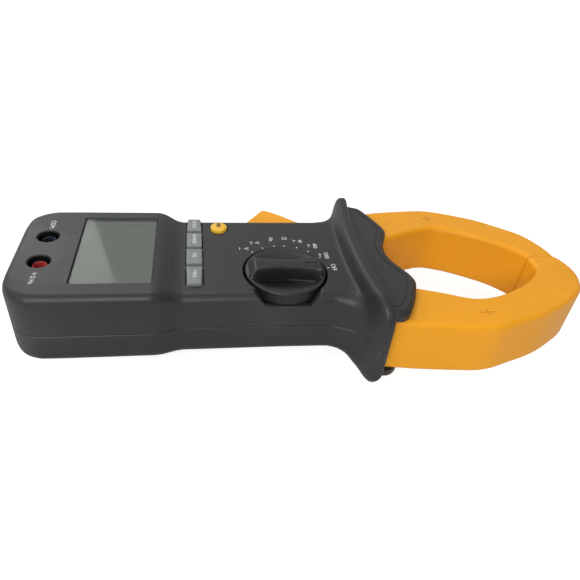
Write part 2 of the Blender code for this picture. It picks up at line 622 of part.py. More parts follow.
def build_rear_case():
    case = add_piece("rear_case", case_half(False), "case")
    cut(case, cavity_half(False), jaw_slot(FLOOR_Z, PART_Z + 1.0),
        jaw_slot(SLOT_Z0, FLOOR_Z + 1.0, SLOT_STEP_X))
    join(case, stack(collar_outline(), [(COLLAR_BOTTOM_Z, COLLAR_BEVEL), (5.6, 0.0),
                                        (SLOT_Z0, 0.0)]))
    # door ledge and recess, battery opening and the walls round the battery
    join(case, prism(centred_rect(*DOOR_LEDGE, 2.0), BOSS_Z, 14.4))
    cut(case, prism(centred_rect(DOOR_X0, DOOR_X1, DOOR_HALF_W, 1.5), BELOW_Z, 12.1),
        centred_box(*BATTERY_OPENING))
    join(case, box(BAY_X0, BAY_X1, BAY_Y0, BAY_Y1, BAY_Z0, BAY_Z1),
         box(BAY_X0, BAY_X1, -BAY_Y1, -BAY_Y0, BAY_Z0, BAY_Z1),
         centred_box(BAY_END_X0, BAY_END_X1, BAY_Y1, BAY_Z0, BAY_Z1))
    cut(case, lever_window(LEVER_Z0 - LEVER_GAP, PART_Z + 2.0))
    for x, y, _, _ in CASE_SCREWS:
        join(case, cylinder(x, y, 3.3, 14, BOSS_Z, PART_Z - SEAM))
        cut(case, cylinder(x, y, REAR_BORE_R, 12, BELOW_Z, PART_Z + 2.0),
            cylinder(x, y, COUNTERBORE_R, 16, BELOW_Z, 13.4))
    for x, y in JAW_SCREWS:
        cut(case, cylinder(x, y, REAR_BORE_R, 12, BELOW_HEAD_Z, 12.0),
            cylinder(x, y, COUNTERBORE_R, 16, BELOW_HEAD_Z, 6.4))
    cut(case, cylinder(*PIVOT, PIVOT_BORE_R, 24, 5.6, SLOT_Z0 + 1.0),
        cylinder(*DOOR_SCREW, DOOR_SCREW_BORE_R, 12, BELOW_Z, 16.0))


# ---------------------------------------------------------------- display and board
def build_display():
    x0, x1, half_width = WINDOW
    lens = centred_rect(x0 + LENS_GAP, x1 - LENS_GAP, half_width - LENS_GAP, 1.0)
    add_piece("lens_window", stack(lens, [(45.08, 0.0), (46.05, 0.0), (46.3, 0.25)]), "glass")
    add_piece("lcd_panel", centred_box(*LCD_PANEL), "lcd")
    frame = add_piece("lcd_frame", centred_box(*LCD_FRAME), "white")
    cut(frame, centred_box(*LCD_FRAME_SEAT), centred_box(*LCD_FRAME_OPENING),
        centred_box(*LCD_FRAME_STRIP_SLOT))
    add_piece("zebra_strip", centred_box(*ZEBRA_STRIP), "rubber")


def build_board():
    board = add_piece("circuit_board", prism(BOARD_OUTLINE, BOARD_Z0, BOARD_Z1), "board")
    cut(board, cylinder(DIAL_X, DIAL_Y, 2.6, 16, 30.0, 40.0))
    add_piece("main_chip", stack(round_rect(101.0, 114.0, -9.0, 4.0, 0.6, 1),
                                 [(31.4, 0.3), (BOARD_Z0 - 0.1, 0.0)]), "black")
    buzzer = [(0, 28.8), (9.5, 28.8), (10.0, 29.3), (10.0, BOARD_Z0 - 0.1), (0, BOARD_Z0 - 0.1)]
    add_piece("buzzer", lathe(89.8, -8.0, buzzer), "black")
    add_piece("keypad_mat", prism(round_rect(73.4, 84.6, -26.4, 29.4, 1.0, 1),
                                  BOARD_Z1 + 0.1, 35.7), "rubber")


# ---------------------------------------------------------------- keys and dial
def build_keys():
    # z, inset in X, inset in Y
    levels = ((KEY_FOOT_Z, -KEY_FLANGE, 0.0), (KEY_SHOULDER_Z, -KEY_FLANGE, 0.0),
              (KEY_SHOULDER_Z, 0.0, 0.0), (KEY_TOP_Z - KEY_BEVEL_H, 0.0, 0.0),
              (KEY_TOP_Z, KEY_BEVEL, KEY_BEVEL))
    for k, (y0, y1) in enumerate(KEY_Y, 1):
        cap = skin_rings([
            [(x, y, z) for x, y in round_rect(KEY_X0 + inset_x, KEY_X1 - inset_x,
                                              y0 + inset_y, y1 - inset_y, 0.9, 2)]
            for z, inset_x, inset_y in levels])
        add_piece(f"key_{k}", cap, "key", ((KEY_X0 + KEY_X1) / 2, (y0 + y1) / 2, KEY_TOP_Z))


def build_mode_key():
    flange_r = MODE_R + MODE_FLANGE
    profile = [(0, KEY_FOOT_Z), (flange_r, KEY_FOOT_Z), (flange_r, KEY_SHOULDER_Z),
               (MODE_R, KEY_SHOULDER_Z), (MODE_R, KEY_TOP_Z - MODE_BEVEL),
               (MODE_R - MODE_BEVEL, KEY_TOP_Z), (0, KEY_TOP_Z)]
    key = add_piece("mode_key", lathe(MODE_X, MODE_Y, profile), "yellow",
                    (MODE_X, MODE_Y, KEY_TOP_Z))
    # marking groove
    cut(key, box(MODE_X - 0.35, MODE_X + 0.35, MODE_Y - 0.2, MODE_Y + 3.0,
                 KEY_TOP_Z - 0.5, KEY_TOP_Z + 2))


def build_dial_knob():
    profile = [(0, DIAL_BASE_Z), (DIAL_SKIRT_R, DIAL_BASE_Z), (DIAL_SKIRT_R, DIAL_SKIRT_Z),
               (DIAL_R, DIAL_SKIRT_Z), (DIAL_R, DIAL_RIM_Z - 0.9), (DIAL_R - 1.2, DIAL_RIM_Z),
               (0, DIAL_RIM_Z)]
    knob = add_piece("dial_knob", lathe(DIAL_X, DIAL_Y, profile, 40), "case_dark",
                     (DIAL_X, DIAL_Y, DIAL_ORIGIN_Z))
    side = [(x, GRIP_WAIST + GRIP_FLARE * (x / GRIP_X[-1]) ** 2) for x in GRIP_X]
    side = [(-GRIP_END_X, GRIP_END_HALF_W)] + side + [(GRIP_END_X, GRIP_END_HALF_W)]
    grip = ([(DIAL_X + x, DIAL_Y - y) for x, y in side]
            + [(DIAL_X + x, DIAL_Y + y) for x, y in reversed(side)])
    # start the outline at the first flank point, not at the end of the bar
    grip = grip[1:] + grip[:1]
    join(knob, stack(grip, [(DIAL_RIM_Z - 2.0, 0.0), (DIAL_TOP_Z - 0.6, 0.3),
                            (DIAL_TOP_Z, 1.0)]))
    # pointer groove
    cut(knob, box(DIAL_X + 8.5, DIAL_X + 14.5, DIAL_Y - 0.4, DIAL_Y + 0.4,
                  DIAL_TOP_Z - 0.4, ABOVE_Z))


def build_dial_rotor():
    rotor_top_z = DIAL_BASE_Z - 0.08
    profile = [(0, 31.6), (2.2, 31.6), (2.2, 35.4), (15.6, 35.4), (15.6, 37.4), (6.0, 37.4),
               (6.0, rotor_top_z), (0, rotor_top_z)]
    add_piece("dial_rotor", lathe(DIAL_X, DIAL_Y, profile), "white", (DIAL_X, DIAL_Y, 35.4))
    outer = arc(DIAL_X, DIAL_Y, WIPER_R1, *WIPER_ANGLES, 10)
    inner = arc(DIAL_X, DIAL_Y, WIPER_R0, *WIPER_ANGLES, 10)
    add_piece("contact_wiper", prism(outer + list(reversed(inner)), 34.7, 35.3), "brass",
              (DIAL_X, DIAL_Y, 35.0))


def build_jacks():
    for tag, y, colour in JACKS:
        add_piece(f"{tag}_insulator", tube(JACK_X, y, INSULATOR_PROFILE), colour,
                  (JACK_X, y, INSULATOR_TOP_Z))
        add_piece(f"{tag}_socket", tube(JACK_X, y, SOCKET_PROFILE), "brass",
                  (JACK_X, y, SOCKET_ORIGIN_Z))


# ---------------------------------------------------------------- battery and door
def build_battery():
    outline = centred_rect(BATTERY_X0, BATTERY_X1, BATTERY_HALF_W, 1.5)
    levels = [(BATTERY_Z0, BATTERY_BEVEL), (BATTERY_Z0 + BATTERY_BEVEL, 0.0),
              (BATTERY_Z1 - BATTERY_BEVEL, 0.0), (BATTERY_Z1, BATTERY_BEVEL)]
    add_piece("battery_9v", stack(outline, levels), "battery")
    add_piece("battery_snap", centred_box(BATTERY_X1 + 0.3, BATTERY_X1 + 1.7, 12.4, 15.2, 28.4),
              "black")


def build_battery_leads():
    across = Vector((0, 1, 0))
    for colour, y in (("red", 5.0), ("black", -5.0)):
        path = [Vector((BATTERY_X1 + x, y, z)) for x, z in LEAD_PATH]
        rings = []
        for i, point in enumerate(path):
            tangent = (path[min(i + 1, len(path) - 1)] - path[max(i - 1, 0)]).normalized()
            rings.append(wire_ring(point, across, tangent.cross(across), LEAD_R, 8))
        add_piece(f"battery_lead_{colour}", skin_rings(rings), colour)


def build_battery_door():
    outline = centred_rect(DOOR_X0 + DOOR_GAP, DOOR_X1 - DOOR_GAP, DOOR_HALF_W - DOOR_GAP, 1.3)
    door = add_piece("battery_door",
                     stack(outline, [(BACK_Z, 0.4), (BACK_Z + 0.4, 0.0), (DOOR_TOP_Z, 0.0)]),
                     "case", ((DOOR_X0 + DOOR_X1) / 2, 0.0, BACK_Z))
    cut(door, cylinder(*DOOR_SCREW, DOOR_SCREW_BORE_R, 12, BELOW_Z, 16.0),
        cylinder(*DOOR_SCREW, 2.3, 14, BELOW_Z, 11.3))
    profile = [(0, DOOR_SCREW_HEAD_Z), (2.1, DOOR_SCREW_HEAD_Z), (2.1, 11.25), (1.15, 11.25),
               (1.15, 13.6), (0, 14.2)]
    add_piece("battery_door_screw", lathe(*DOOR_SCREW, profile, 14), "steel",
              (*DOOR_SCREW, DOOR_SCREW_HEAD_Z))


# ---------------------------------------------------------------- jaw shapes
def jaw_ring(inner, outer, side, steps=3):
    """Rounded-rectangle section of a jaw between an inner and an outer point."""
    start = Vector((inner[0], inner[1] * side))
    end = Vector((outer[0], outer[1] * side))
    length = (end - start).length
    direction = (end - start) / length
    far, low, high = length - JAW_EDGE_R, JAW_Z0 + JAW_EDGE_R, JAW_Z1 - JAW_EDGE_R
    corners = ((far, low, -90), (far, high, 0), (JAW_EDGE_R, high, 90), (JAW_EDGE_R, low, 180))
    ring = []
    for reach, z, angle in corners:
        ring += arc(reach, z, JAW_EDGE_R, angle, angle + 90, steps)
    return [(start.x + direction.x * reach, start.y + direction.y * reach, z)
            for reach, z in ring]


def jaw_arm(side):
    stations = list(zip(JAW_INNER[side], JAW_OUTER[side]))
    if side == FIXED:
        stations.insert(1, FIXED_CENTRE_STATION)
        stations = stations[:-1] + FIXED_HEAD_STATIONS
    return skin_rings([jaw_ring(inner, outer, side) for inner, outer in stations])


def pocket_outline(side, gap):
    """Plan outline of the hollow in a jaw arm, inset by gap from the arm's two long sides."""
    stations = list(zip(JAW_INNER[side][1:-1], JAW_OUTER[side][1:-1])) + [POCKET_END_STATION]
    inner_line, outer_line = [], []
    for inner, outer in stations:
        inner, outer = Vector(inner), Vector(outer)
        direction = (outer - inner).normalized()
        inner_line.append(inner + direction * gap)
        outer_line.append(outer - direction * gap)
    return [(x, y * side) for x, y in outer_line + list(reversed(inner_line))]


def core_line(side):
    """Centre line of a laminated core from its tip face to its base face."""
    face = FACE_Y[side] * side
    line = [(CORE_TIP_X, face)]
    if side == FIXED:
        line.append(CORE_FIXED_CENTRE)
    line += [((inner[0] + outer[0]) / 2, (inner[1] + outer[1]) / 2)
             for inner, outer in zip(JAW_INNER[side][1:-1], JAW_OUTER[side][1:-1])]
    line += CORE_BASE + [(CORE_BASE_END_X, face)]
    return [(x, y * side) for x, y in line]


def core_bar(side, gap=0.0, extend=0.0):
    """A jaw's core, grown by gap all round."""
    return sweep_bar(core_line(side), CORE_HALF_W + gap, CORE_Z0 - gap, CORE_Z1 + gap, extend)


def add_jaw_shell(name, side, base):
    """Arm joined to its base, hollowed from the back and bored for the core."""
    shell = add_piece(name, jaw_arm(side), "amber", JAW_ORIGIN[side])
    join(shell, prism(base, JAW_Z0 + BASE_STEP, JAW_Z1 - BASE_STEP))
    cut(shell, prism(pocket_outline(side, POCKET_WALL), BELOW_Z, POCKET_TOP_Z),
        core_bar(side, CORE_BORE_GAP, CORE_BORE_EXTEND))
    return shell


# ---------------------------------------------------------------- jaws
def build_fixed_jaw():
    shell = add_jaw_shell("fixed_jaw_shell", FIXED, FIXED_BASE)
    for x, y in JAW_SCREWS:
        cut(shell, cylinder(x, y, 1.4, 12, BELOW_Z, 14.6))
    cut(shell, box(140.0, SLOT_STEP_X + 0.9, -50.0, 10.0, BELOW_Z, HEEL_CUT_Z))


def build_moving_jaw():
    polar = [(PIVOT[0] + radius * math.cos(math.radians(angle)),
              PIVOT[1] + radius * math.sin(math.radians(angle)))
             for radius, angle in MOVING_BASE_POLAR]
    base = list(reversed(MOVING_BASE_OUTER + polar + MOVING_BASE_INNER))
    shell = add_jaw_shell("moving_jaw_shell", MOVING, base)
    cut(shell, cylinder(*PIVOT, PIVOT_BORE_R, 24, BELOW_HEAD_Z, ABOVE_Z),
        cylinder(*PIVOT, SPRING_POCKET_R, 24, SPRING_POCKET_Z, ABOVE_Z),
        prism(MOVING_LUG_CUT, BELOW_Z, 22.4))
    # the low part of the heel stays ahead of the step in the head's floor when the jaw swings
    cut(shell, prism(MOVING_HEEL_CUT, BELOW_Z, HEEL_CUT_Z))
    cut(shell, cylinder(*LEVER_SCREW, LEVER_SCREW_BORE_R, 12, 20.0, 30.0))


def build_covers_and_cores():
    """Covers that close the jaw pockets from the back, and the laminated cores."""
    for tag, side in JAW_SIDES:
        cover = prism(pocket_outline(side, POCKET_WALL + 0.2), JAW_Z0 + 0.1, JAW_Z0 + 2.0)
        add_piece(f"{tag}_jaw_cover", cover, "amber", JAW_ORIGIN[side])
        add_piece(f"{tag}_core", core_bar(side), "core", JAW_ORIGIN[side])


def build_coils():
    """Pick-up windings, one round each core where it is straight."""
    for tag, side in JAW_SIDES:
        line = sorted((x, y) for x, y in core_line(side) if 175.0 <= x <= 200.0)
        start, end = [Vector((x, along(line, x))) for x in COIL_X]
        across = left_normal(start, end) * COIL_HALF_W
        rings = []
        for point in (start, end):
            left, right = point + across, point - across
            rings.append([(left.x, left.y, COIL_Z0), (right.x, right.y, COIL_Z0),
                          (right.x, right.y, COIL_Z1), (left.x, left.y, COIL_Z1)])
        coil = add_piece(f"{tag}_coil", skin_rings(rings), "copper", JAW_ORIGIN[side])
        cut(coil, core_bar(side, COIL_GAP))


# ---------------------------------------------------------------- lever, pivot and spring
def build_lever():
    levels = [(LEVER_Z0, LEVER_BEVEL), (LEVER_Z0 + LEVER_BEVEL, 0.0),
              (LEVER_Z1 - LEVER_BEVEL, 0.0), (LEVER_Z1, LEVER_BEVEL)]
    lever = add_piece("trigger_lever", stack(list(reversed(LEVER_OUTLINE)), levels), "amber",
                      MOVING_ORIGIN)
    cut(lever, box(*LEVER_LUG_CUT),
        cylinder(*LEVER_SCREW, LEVER_SCREW_BORE_R, 12, BELOW_Z, 30.0),
        cylinder(*LEVER_SCREW, 2.4, 14, BELOW_Z, 16.4))
    profile = [(0, 14.9), (2.2, 14.9), (2.2, 16.3), (1.15, 16.3), (1.15, 28.0), (0, 29.0)]
    add_piece("lever_screw", lathe(*LEVER_SCREW, profile, 14), "steel", MOVING_ORIGIN)


def build_pivot_pin():
    profile = [(0, 5.8), (PIVOT_PIN_R, 5.8), (PIVOT_PIN_R, 42.4), (0, 42.4)]
    add_piece("pivot_pin", lathe(*PIVOT, profile), "steel", MOVING_ORIGIN)


def build_spring():
    total_steps = SPRING_STEPS * SPRING_TURNS
    up = Vector((0, 0, 1))
    rings = []
    for i in range(int(total_steps) + 1):
        angle = 2 * math.pi * i / SPRING_STEPS
        centre = Vector((PIVOT[0] + SPRING_R * math.cos(angle),
                         PIVOT[1] + SPRING_R * math.sin(angle),
                         SPRING_Z + SPRING_HEIGHT * i / total_steps))
        outward = Vector((math.cos(angle), math.sin(angle), 0))
        rings.append(wire_ring(centre, outward, up, SPRING_WIRE_R, 6))
    add_piece("return_spring", skin_rings(rings), "steel", MOVING_ORIGIN)


# ---------------------------------------------------------------- fasteners
def add_screw(name, x, y, head_z, tip_z):
    """Pan-head screw driven from the back: head at low z."""
    neck_z = head_z + SCREW_HEAD_H
    profile = [(0, head_z), (SCREW_HEAD_R - 0.4, head_z), (SCREW_HEAD_R, head_z + 0.5),
               (SCREW_HEAD_R, neck_z), (SCREW_SHANK_R, neck_z),
               (SCREW_SHANK_R, tip_z - SCREW_POINT), (0, tip_z)]
    add_piece(name, lathe(x, y, profile, 16), "steel", (x, y, head_z))


def build_screws():
    for k, (x, y, _, tip_z) in enumerate(CASE_SCREWS, 1):
        add_screw(f"case_screw_{k}", x, y, CASE_SCREW_HEAD_Z, tip_z)
    for k, (x, y) in enumerate(JAW_SCREWS, 1):
        add_screw(f"jaw_screw_{k}", x, y, JAW_SCREW_HEAD_Z, JAW_SCREW_TIP_Z)


for build in (build_front_case, build_rear_case, build_display, build_board, build_keys,
              build_mode_key, build_dial_knob, build_dial_rotor, build_jacks, build_battery,
              build_battery_leads, build_battery_door, build_fixed_jaw, build_moving_jaw,
              build_covers_and_cores, build_coils, build_lever, build_pivot_pin, build_spring,
              build_screws):
    build()
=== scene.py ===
# A clamp meter lying on its back. Its length runs along X, with the test-lead sockets at low X and
# the jaws at high X. Its face looks up (+Z) and the trigger lever is on the +Y side.
# Shapes are drawn in millimetres in a drawing frame; make() moves ORIGIN to zero and scales to metres.
import math

import bmesh
import bpy
from mathutils import Matrix, Vector


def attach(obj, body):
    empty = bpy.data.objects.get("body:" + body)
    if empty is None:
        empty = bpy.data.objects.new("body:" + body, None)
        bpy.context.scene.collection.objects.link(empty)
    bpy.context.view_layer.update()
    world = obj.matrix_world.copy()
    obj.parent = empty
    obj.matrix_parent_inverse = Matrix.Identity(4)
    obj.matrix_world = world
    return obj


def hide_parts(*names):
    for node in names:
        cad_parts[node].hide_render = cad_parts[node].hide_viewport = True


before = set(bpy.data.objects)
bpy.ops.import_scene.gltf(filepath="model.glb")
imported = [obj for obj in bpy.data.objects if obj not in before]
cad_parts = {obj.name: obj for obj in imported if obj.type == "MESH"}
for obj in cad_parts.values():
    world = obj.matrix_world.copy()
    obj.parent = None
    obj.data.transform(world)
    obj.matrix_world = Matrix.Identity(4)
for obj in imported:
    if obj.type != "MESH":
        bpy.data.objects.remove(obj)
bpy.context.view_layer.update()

# ---------------------------------------------------------------- main dimensions (mm)
MM = 0.001
ORIGIN = Vector((135.0, 0.0, 10.5))
BACK_Z = 10.5
PART_Z = 25.4        # parting plane of the case
SEAM = 0.1           # each half stops this far from the parting plane
WALL = 2.4
REAR_FLOOR_Z = BACK_Z + WALL
LOW_FACE_Z = 42.7    # face round the keys and dial
HIGH_FACE_Z = 46.6   # face round the display and sockets
END_R = 15.5         # corner radius of the socket end, seen from above
FACE_FALL = 0.42     # how far the edges of the high face drop below its middle
# flared guard between the handle and the jaws
GUARD_FRONT_X, GUARD_WALL, GUARD_BOW = 163.5, 1.9, 4.4
SLOT_LAG = 2.1       # the jaw slot follows the guard's width this far behind
SLOT_Z0, SLOT_Z1, SLOT_STEP_X = 9.0, 38.6, 156.2
COLLAR_TOP_Z, COLLAR_BOT_Z = 44.0, 3.6
# jaws: heights, edge radius, and the plane that splits them
JAW_Z0, JAW_Z1, JAW_R = 9.4, 38.2, 2.6
SPLIT_Y, SPLIT_GAP = 3.4, 0.15
FIXED_END_Y, MOVING_END_Y = SPLIT_Y - SPLIT_GAP, SPLIT_Y + SPLIT_GAP
PIVOT, PIVOT_HOLE_R = (161.5, 31.5), 2.6
CORE_HALF, CORE_Z0, CORE_Z1, CORE_PLAY = 3.5, 18.8, 28.8, 0.15
# dial
DIAL, DIAL_HOLE_R, DIAL_R = (120.6, -13.8), 19.7, 18.7
DIAL_BASE_Z, DIAL_HOLE_Z, DIAL_SKIRT_Z, DIAL_SKIRT_R = 38.9, 37.1, 37.35, 16.3
# sockets, display and keys
JACK_X, JACK_Y, JACK_R = 12.7, 10.1, 4.9
WINDOW_X, WINDOW_HALF = (27.0, 61.2), 26.7
KEY_X = (75.4, 82.7)
KEY_Y = ((-24.2, -11.4), (-9.1, 2.9), (5.0, 17.1), (19.2, 30.2))
KEY_TOP_Z = 44.4
MODE_X, MODE_Y, MODE_R = 91.3, 23.3, 4.15
# trigger lever, battery door and screws
LEVER_Z0, LEVER_Z1 = 14.0, 37.0
LEVER_WINDOW_X, LEVER_WINDOW_Y = (99.5, 147.4), (26.0, 40.0)
DOOR_X, DOOR_HALF = (20.0, 77.0), 18.5
DOOR_SCREW = (70.8, -16.0)
CASE_SCREWS = ((14.0, 24.5), (14.0, -24.5), (68.0, 28.2), (68.0, -28.2), (145.2, -25.5))
JAW_SCREWS = ((162.0, -34.0), (164.0, -14.0))
LEVER_SCREW = (148.9, 25.2)
CASE_HEAD_Z, JAW_HEAD_Z, DOOR_HEAD_Z, LEVER_HEAD_Z = 11.5, 4.5, 10.6, 14.9

# Case profiles: (x, value). Half width, face height, back height, jaw slot half width,
# and the radii of the upper and lower long edges.
HALF_W = (
    (0, 35.9), (60, 35.9), (63.5, 35.55), (67, 34.5), (70.5, 33.35), (74, 32.85), (118, 32.85),
    (128, 33.0), (140, 33.3), (144.7, 34.7), (148.9, 36.7), (152.4, 39.2), (154.6, 41.8),
    (155.8, 44.6), (156.7, 47.8), (157.6, 50.3), (158.6, 51.7), (159.9, 52.2), (161.4, 52.3),
    (162.6, 52.0), (163.2, 51.4), (163.5, 50.6))
TOP_Z = (
    (0, 46.6), (61, 46.6), (64, 46.2), (67.5, 44.8), (71, 43.2), (74, 42.7), (147, 42.7),
    (152.0, 42.9), (154.4, 43.4), (155.5, 44.8), (156.3, 46.9), (157.1, 48.7), (158.1, 49.7),
    (159.3, 50.1), (160.8, 50.1), (162.0, 49.7), (162.8, 48.9), (163.3, 47.7), (163.5, 46.4))
BOT_Z = (
    (0, 10.5), (140.5, 10.5), (144.5, 10.2), (147.8, 9.2), (150.2, 7.7), (152.2, 5.7), (153.9, 4.0),
    (155.4, 3.1), (157.0, 2.7), (158.8, 2.6), (160.4, 2.8), (162.0, 3.6), (163.5, 5.0))
SLOT_W = (
    (144.7, 34.7), (148.9, 36.9), (152.8, 40.1), (156.2, 44.2), (158.1, 48.0), (159.4, 51.0),
    (160.6, 52.1), (162.0, 52.3), (162.8, 52.0), (163.5, 50.8))
TOP_R = ((0, 4.0), (60, 4.0), (74, 4.6), (138, 4.8), (148, 7.0), (156, 10.0), (160, 11.0), (163.5, 10.0))
BOT_R = ((0, 4.0), (140, 4.0), (150, 5.0), (157, 6.5), (163.5, 7.0))

# Jaw edges from tip to root: (x, distance from the centre line). 1 is the moving jaw on +Y,
# -1 the fixed jaw on -Y.
JAW_OUT = {
    1: ((270.2, 3.4), (269.9, 7.0), (268.1, 14.2), (262.4, 25.4), (250.4, 35.6), (241.0, 42.2),
        (226.0, 48.9), (218.0, 51.6), (211.0, 52.9), (196.0, 52.0), (180.0, 49.8), (171.8, 47.6)),
    -1: ((270.8, 3.4), (274.3, 7.0), (273.7, 14.2), (268.2, 25.4), (253.3, 36.1), (242.0, 42.0),
         (224.7, 48.0), (217.0, 50.4), (210.0, 51.3), (196.0, 50.4), (180.0, 48.8), (171.8, 47.6))}
JAW_IN = {
    1: ((254.1, 3.4), (253.5, 5.2), (250.9, 9.2), (243.5, 16.6), (233.2, 23.3), (225.8, 27.4),
        (218.4, 30.4), (212.0, 32.3), (206.7, 32.0), (196.0, 28.6), (180.0, 21.2), (172.0, 18.0)),
    -1: ((254.1, 3.4), (254.0, 5.8), (251.5, 10.2), (243.5, 17.4), (233.2, 23.6), (225.8, 27.0),
         (218.4, 29.2), (212.0, 30.0), (206.7, 29.4), (196.0, 25.4), (180.0, 20.4), (172.0, 18.0))}
JAW_TIP = {1: MOVING_END_Y, -1: -FIXED_END_Y}

# Collar outline on the +Y side and on the -Y side: (x, distance from the centre line).
COLLAR_HIGH_Y = (
    (158.0, 45.5), (163.8, 47.4), (170.5, 44.2), (174.3, 36.8), (178.4, 26.4), (179.3, 22.6),
    (178.6, 19.2), (176.1, 13.0), (174.3, 8.0), (173.5, 0.0))
COLLAR_LOW_Y = (
    (158.0, 45.5), (165.0, 47.5), (168.2, 47.3), (171.2, 45.4), (173.6, 42.0), (176.4, 36.8),
    (179.0, 30.6), (181.2, 24.4), (181.5, 21.2), (180.6, 17.8), (177.8, 12.4), (175.2, 7.0))


# ---------------------------------------------------------------- materials
def srgb(red, green, blue):
    def linear(level):
        level /= 255.0
        return level / 12.92 if level <= 0.04045 else ((level + 0.055) / 1.055) ** 2.4
    return (linear(red), linear(green), linear(blue), 1.0)


def scaled(colour, factor, lift=0.0):
    return tuple(min(1.0, c * factor + lift) for c in colour[:3]) + (1.0,)


class Shader:
    """A material's node tree, with short ways to add nodes. `over` and `to` are ranges."""
    INPUTS = {"base": "Base Color", "rough": "Roughness", "metal": "Metallic", "normal": "Normal",
              "coat": "Coat Weight", "coat_rough": "Coat Roughness", "spec": "Specular IOR Level",
              "sss": "Subsurface Weight", "sss_scale": "Subsurface Scale",
              "glow": "Emission Color", "glow_strength": "Emission Strength"}

    def __init__(self, name):
        self.material = bpy.data.materials.new(name)
        self.material.use_nodes = True
        self.tree = self.material.node_tree
        self.bsdf = self.tree.nodes["Principled BSDF"]
        self.coord = self.node("ShaderNodeTexCoord").outputs["Object"]

    def feed(self, socket, value):
        if isinstance(value, bpy.types.NodeSocket):
            self.tree.links.new(value, socket)
        else:
            socket.default_value = value

    def node(self, kind, inputs=None, **props):
        node = self.tree.nodes.new(kind)
        for key, value in props.items():
            setattr(node, key, value)
        for key, value in (inputs or {}).items():
            self.feed(node.inputs[key], value)
        return node

    def axes(self):
        return self.node("ShaderNodeSeparateXYZ", {0: self.coord}).outputs

    def mapping(self, scale=(1, 1, 1), turn_z=0.0):
        inputs = {"Scale": scale, "Rotation": (0, 0, turn_z), "Vector": self.coord}
        return self.node("ShaderNodeMapping", inputs).outputs["Vector"]

    def noise(self, scale, detail=3.0, rough=0.55, distortion=0.0, vector=None):
        inputs = {"Scale": scale, "Detail": detail, "Roughness": rough, "Distortion": distortion,
                  "Vector": vector or self.coord}
        return self.node("ShaderNodeTexNoise", inputs).outputs["Fac"]

    def voronoi(self, scale, feature="F1"):
        inputs = {"Scale": scale, "Vector": self.coord}
        return self.node("ShaderNodeTexVoronoi", inputs, feature=feature).outputs["Distance"]

    def wave(self, scale, direction, distortion=0.0, vector=None):
        inputs = {"Scale": scale, "Distortion": distortion, "Vector": vector or self.coord}
        return self.node("ShaderNodeTexWave", inputs, bands_direction=direction).outputs["Fac"]

    def remap(self, value, over=(0.0, 1.0), to=(0.0, 1.0)):
        inputs = {"From Min": over[0], "From Max": over[1], "To Min": to[0], "To Max": to[1],
                  "Value": value}
        return self.node("ShaderNodeMapRange", inputs).outputs["Result"]

    def math(self, operation, first, second):
        return self.node("ShaderNodeMath", {0: first, 1: second}, operation=operation).outputs[0]

    def mix(self, factor, first, second, blend="MIX"):
        inputs = {0: factor, 6: first, 7: second}
        return self.node("ShaderNodeMix", inputs, data_type="RGBA", blend_type=blend).outputs[2]

    def bump(self, height, strength, distance):
        inputs = {"Strength": strength, "Distance": distance, "Height": height}
        return self.node("ShaderNodeBump", inputs).outputs["Normal"]

    def edges(self, over):
        """1 on convex edges, 0 on flats."""
        geometry = self.node("ShaderNodeNewGeometry")
        return self.remap(geometry.outputs["Pointiness"], over=over)

    def surface(self, **values):
        for key, value in values.items():
            self.feed(self.bsdf.inputs[self.INPUTS[key]], value)
        return self.material


def plastic(name, colour, rough=0.5, grain_mm=0.5, depth_mm=0.01, vary=0.06, wear=0.1, sss=0.0,
            spec=0.5, rubbed=None, shade=None):
    """Moulded plastic: fine grain, slight mottling, handling polish and paler rubbed edges."""
    s = Shader(name)
    fine = s.noise(scale=1.0 / (grain_mm * MM), rough=0.6)
    cells = s.voronoi(scale=0.8 / (grain_mm * MM))
    broad = s.noise(scale=38.0, detail=5.0, rough=0.6)
    smudge = s.noise(scale=17.0, detail=4.0, rough=0.65, distortion=0.8)
    tone = s.remap(broad, over=(0.3, 0.7), to=(1.0 - vary, 1.0 + vary))
    grey = s.node("ShaderNodeCombineColor", {0: tone, 1: tone, 2: tone}).outputs[0]
    base = s.mix(1.0, colour, grey, "MULTIPLY")
    speck = s.remap(fine, over=(0.35, 0.7), to=(0.0, 0.10))
    base = s.mix(speck, base, scaled(colour, 1.8))
    if wear:
        handled = s.remap(smudge, over=(0.40, 0.62), to=(0.15, 1.0))
        rub = s.math("MULTIPLY", s.edges(over=(0.515, 0.60)), handled)
        rub = s.math("MULTIPLY", rub, wear)
        base = s.mix(rub, base, rubbed or scaled(colour, 2.4, lift=0.02))
    # optional painted shade, laid over the colour by a given function
    if shade:
        base = shade(s, base)
    roughness = s.math("ADD", s.remap(smudge, over=(0.3, 0.7), to=(rough - 0.07, rough + 0.07)),
                       s.remap(fine, over=(0.3, 0.7), to=(-0.04, 0.04)))
    height = s.math("ADD", s.math("MULTIPLY", fine, 0.7), s.math("MULTIPLY", cells, 0.5))
    return s.surface(base=base, rough=roughness, coat_rough=0.25, sss=sss, sss_scale=0.002,
                     spec=spec, normal=s.bump(height, strength=0.55, distance=depth_mm * MM))


def painted_scoop_shade(s, base):
    """Painted shade: the dial's finger scoops are coloured darker than its rim and grip bar, most where
    they dip lowest.
    """
    xyz = s.axes()
    across = s.math("SUBTRACT", xyz["X"], (DIAL[0] - ORIGIN[0]) * MM)
    along_y = s.math("SUBTRACT", xyz["Y"], (DIAL[1] - ORIGIN[1]) * MM)
    squares = s.math("ADD", s.math("MULTIPLY", across, across),
                     s.math("MULTIPLY", along_y, along_y))
    radius = s.math("SQRT", squares, 0.0)
    low = s.remap(xyz["Z"], over=((40.6 - ORIGIN[2]) * MM, (43.2 - ORIGIN[2]) * MM), to=(0.8, 0.0))
    inside = s.remap(radius, over=(17.3 * MM, 18.0 * MM), to=(1.0, 0.0))
    return s.mix(s.math("MULTIPLY", low, inside), base, srgb(8, 9, 10))


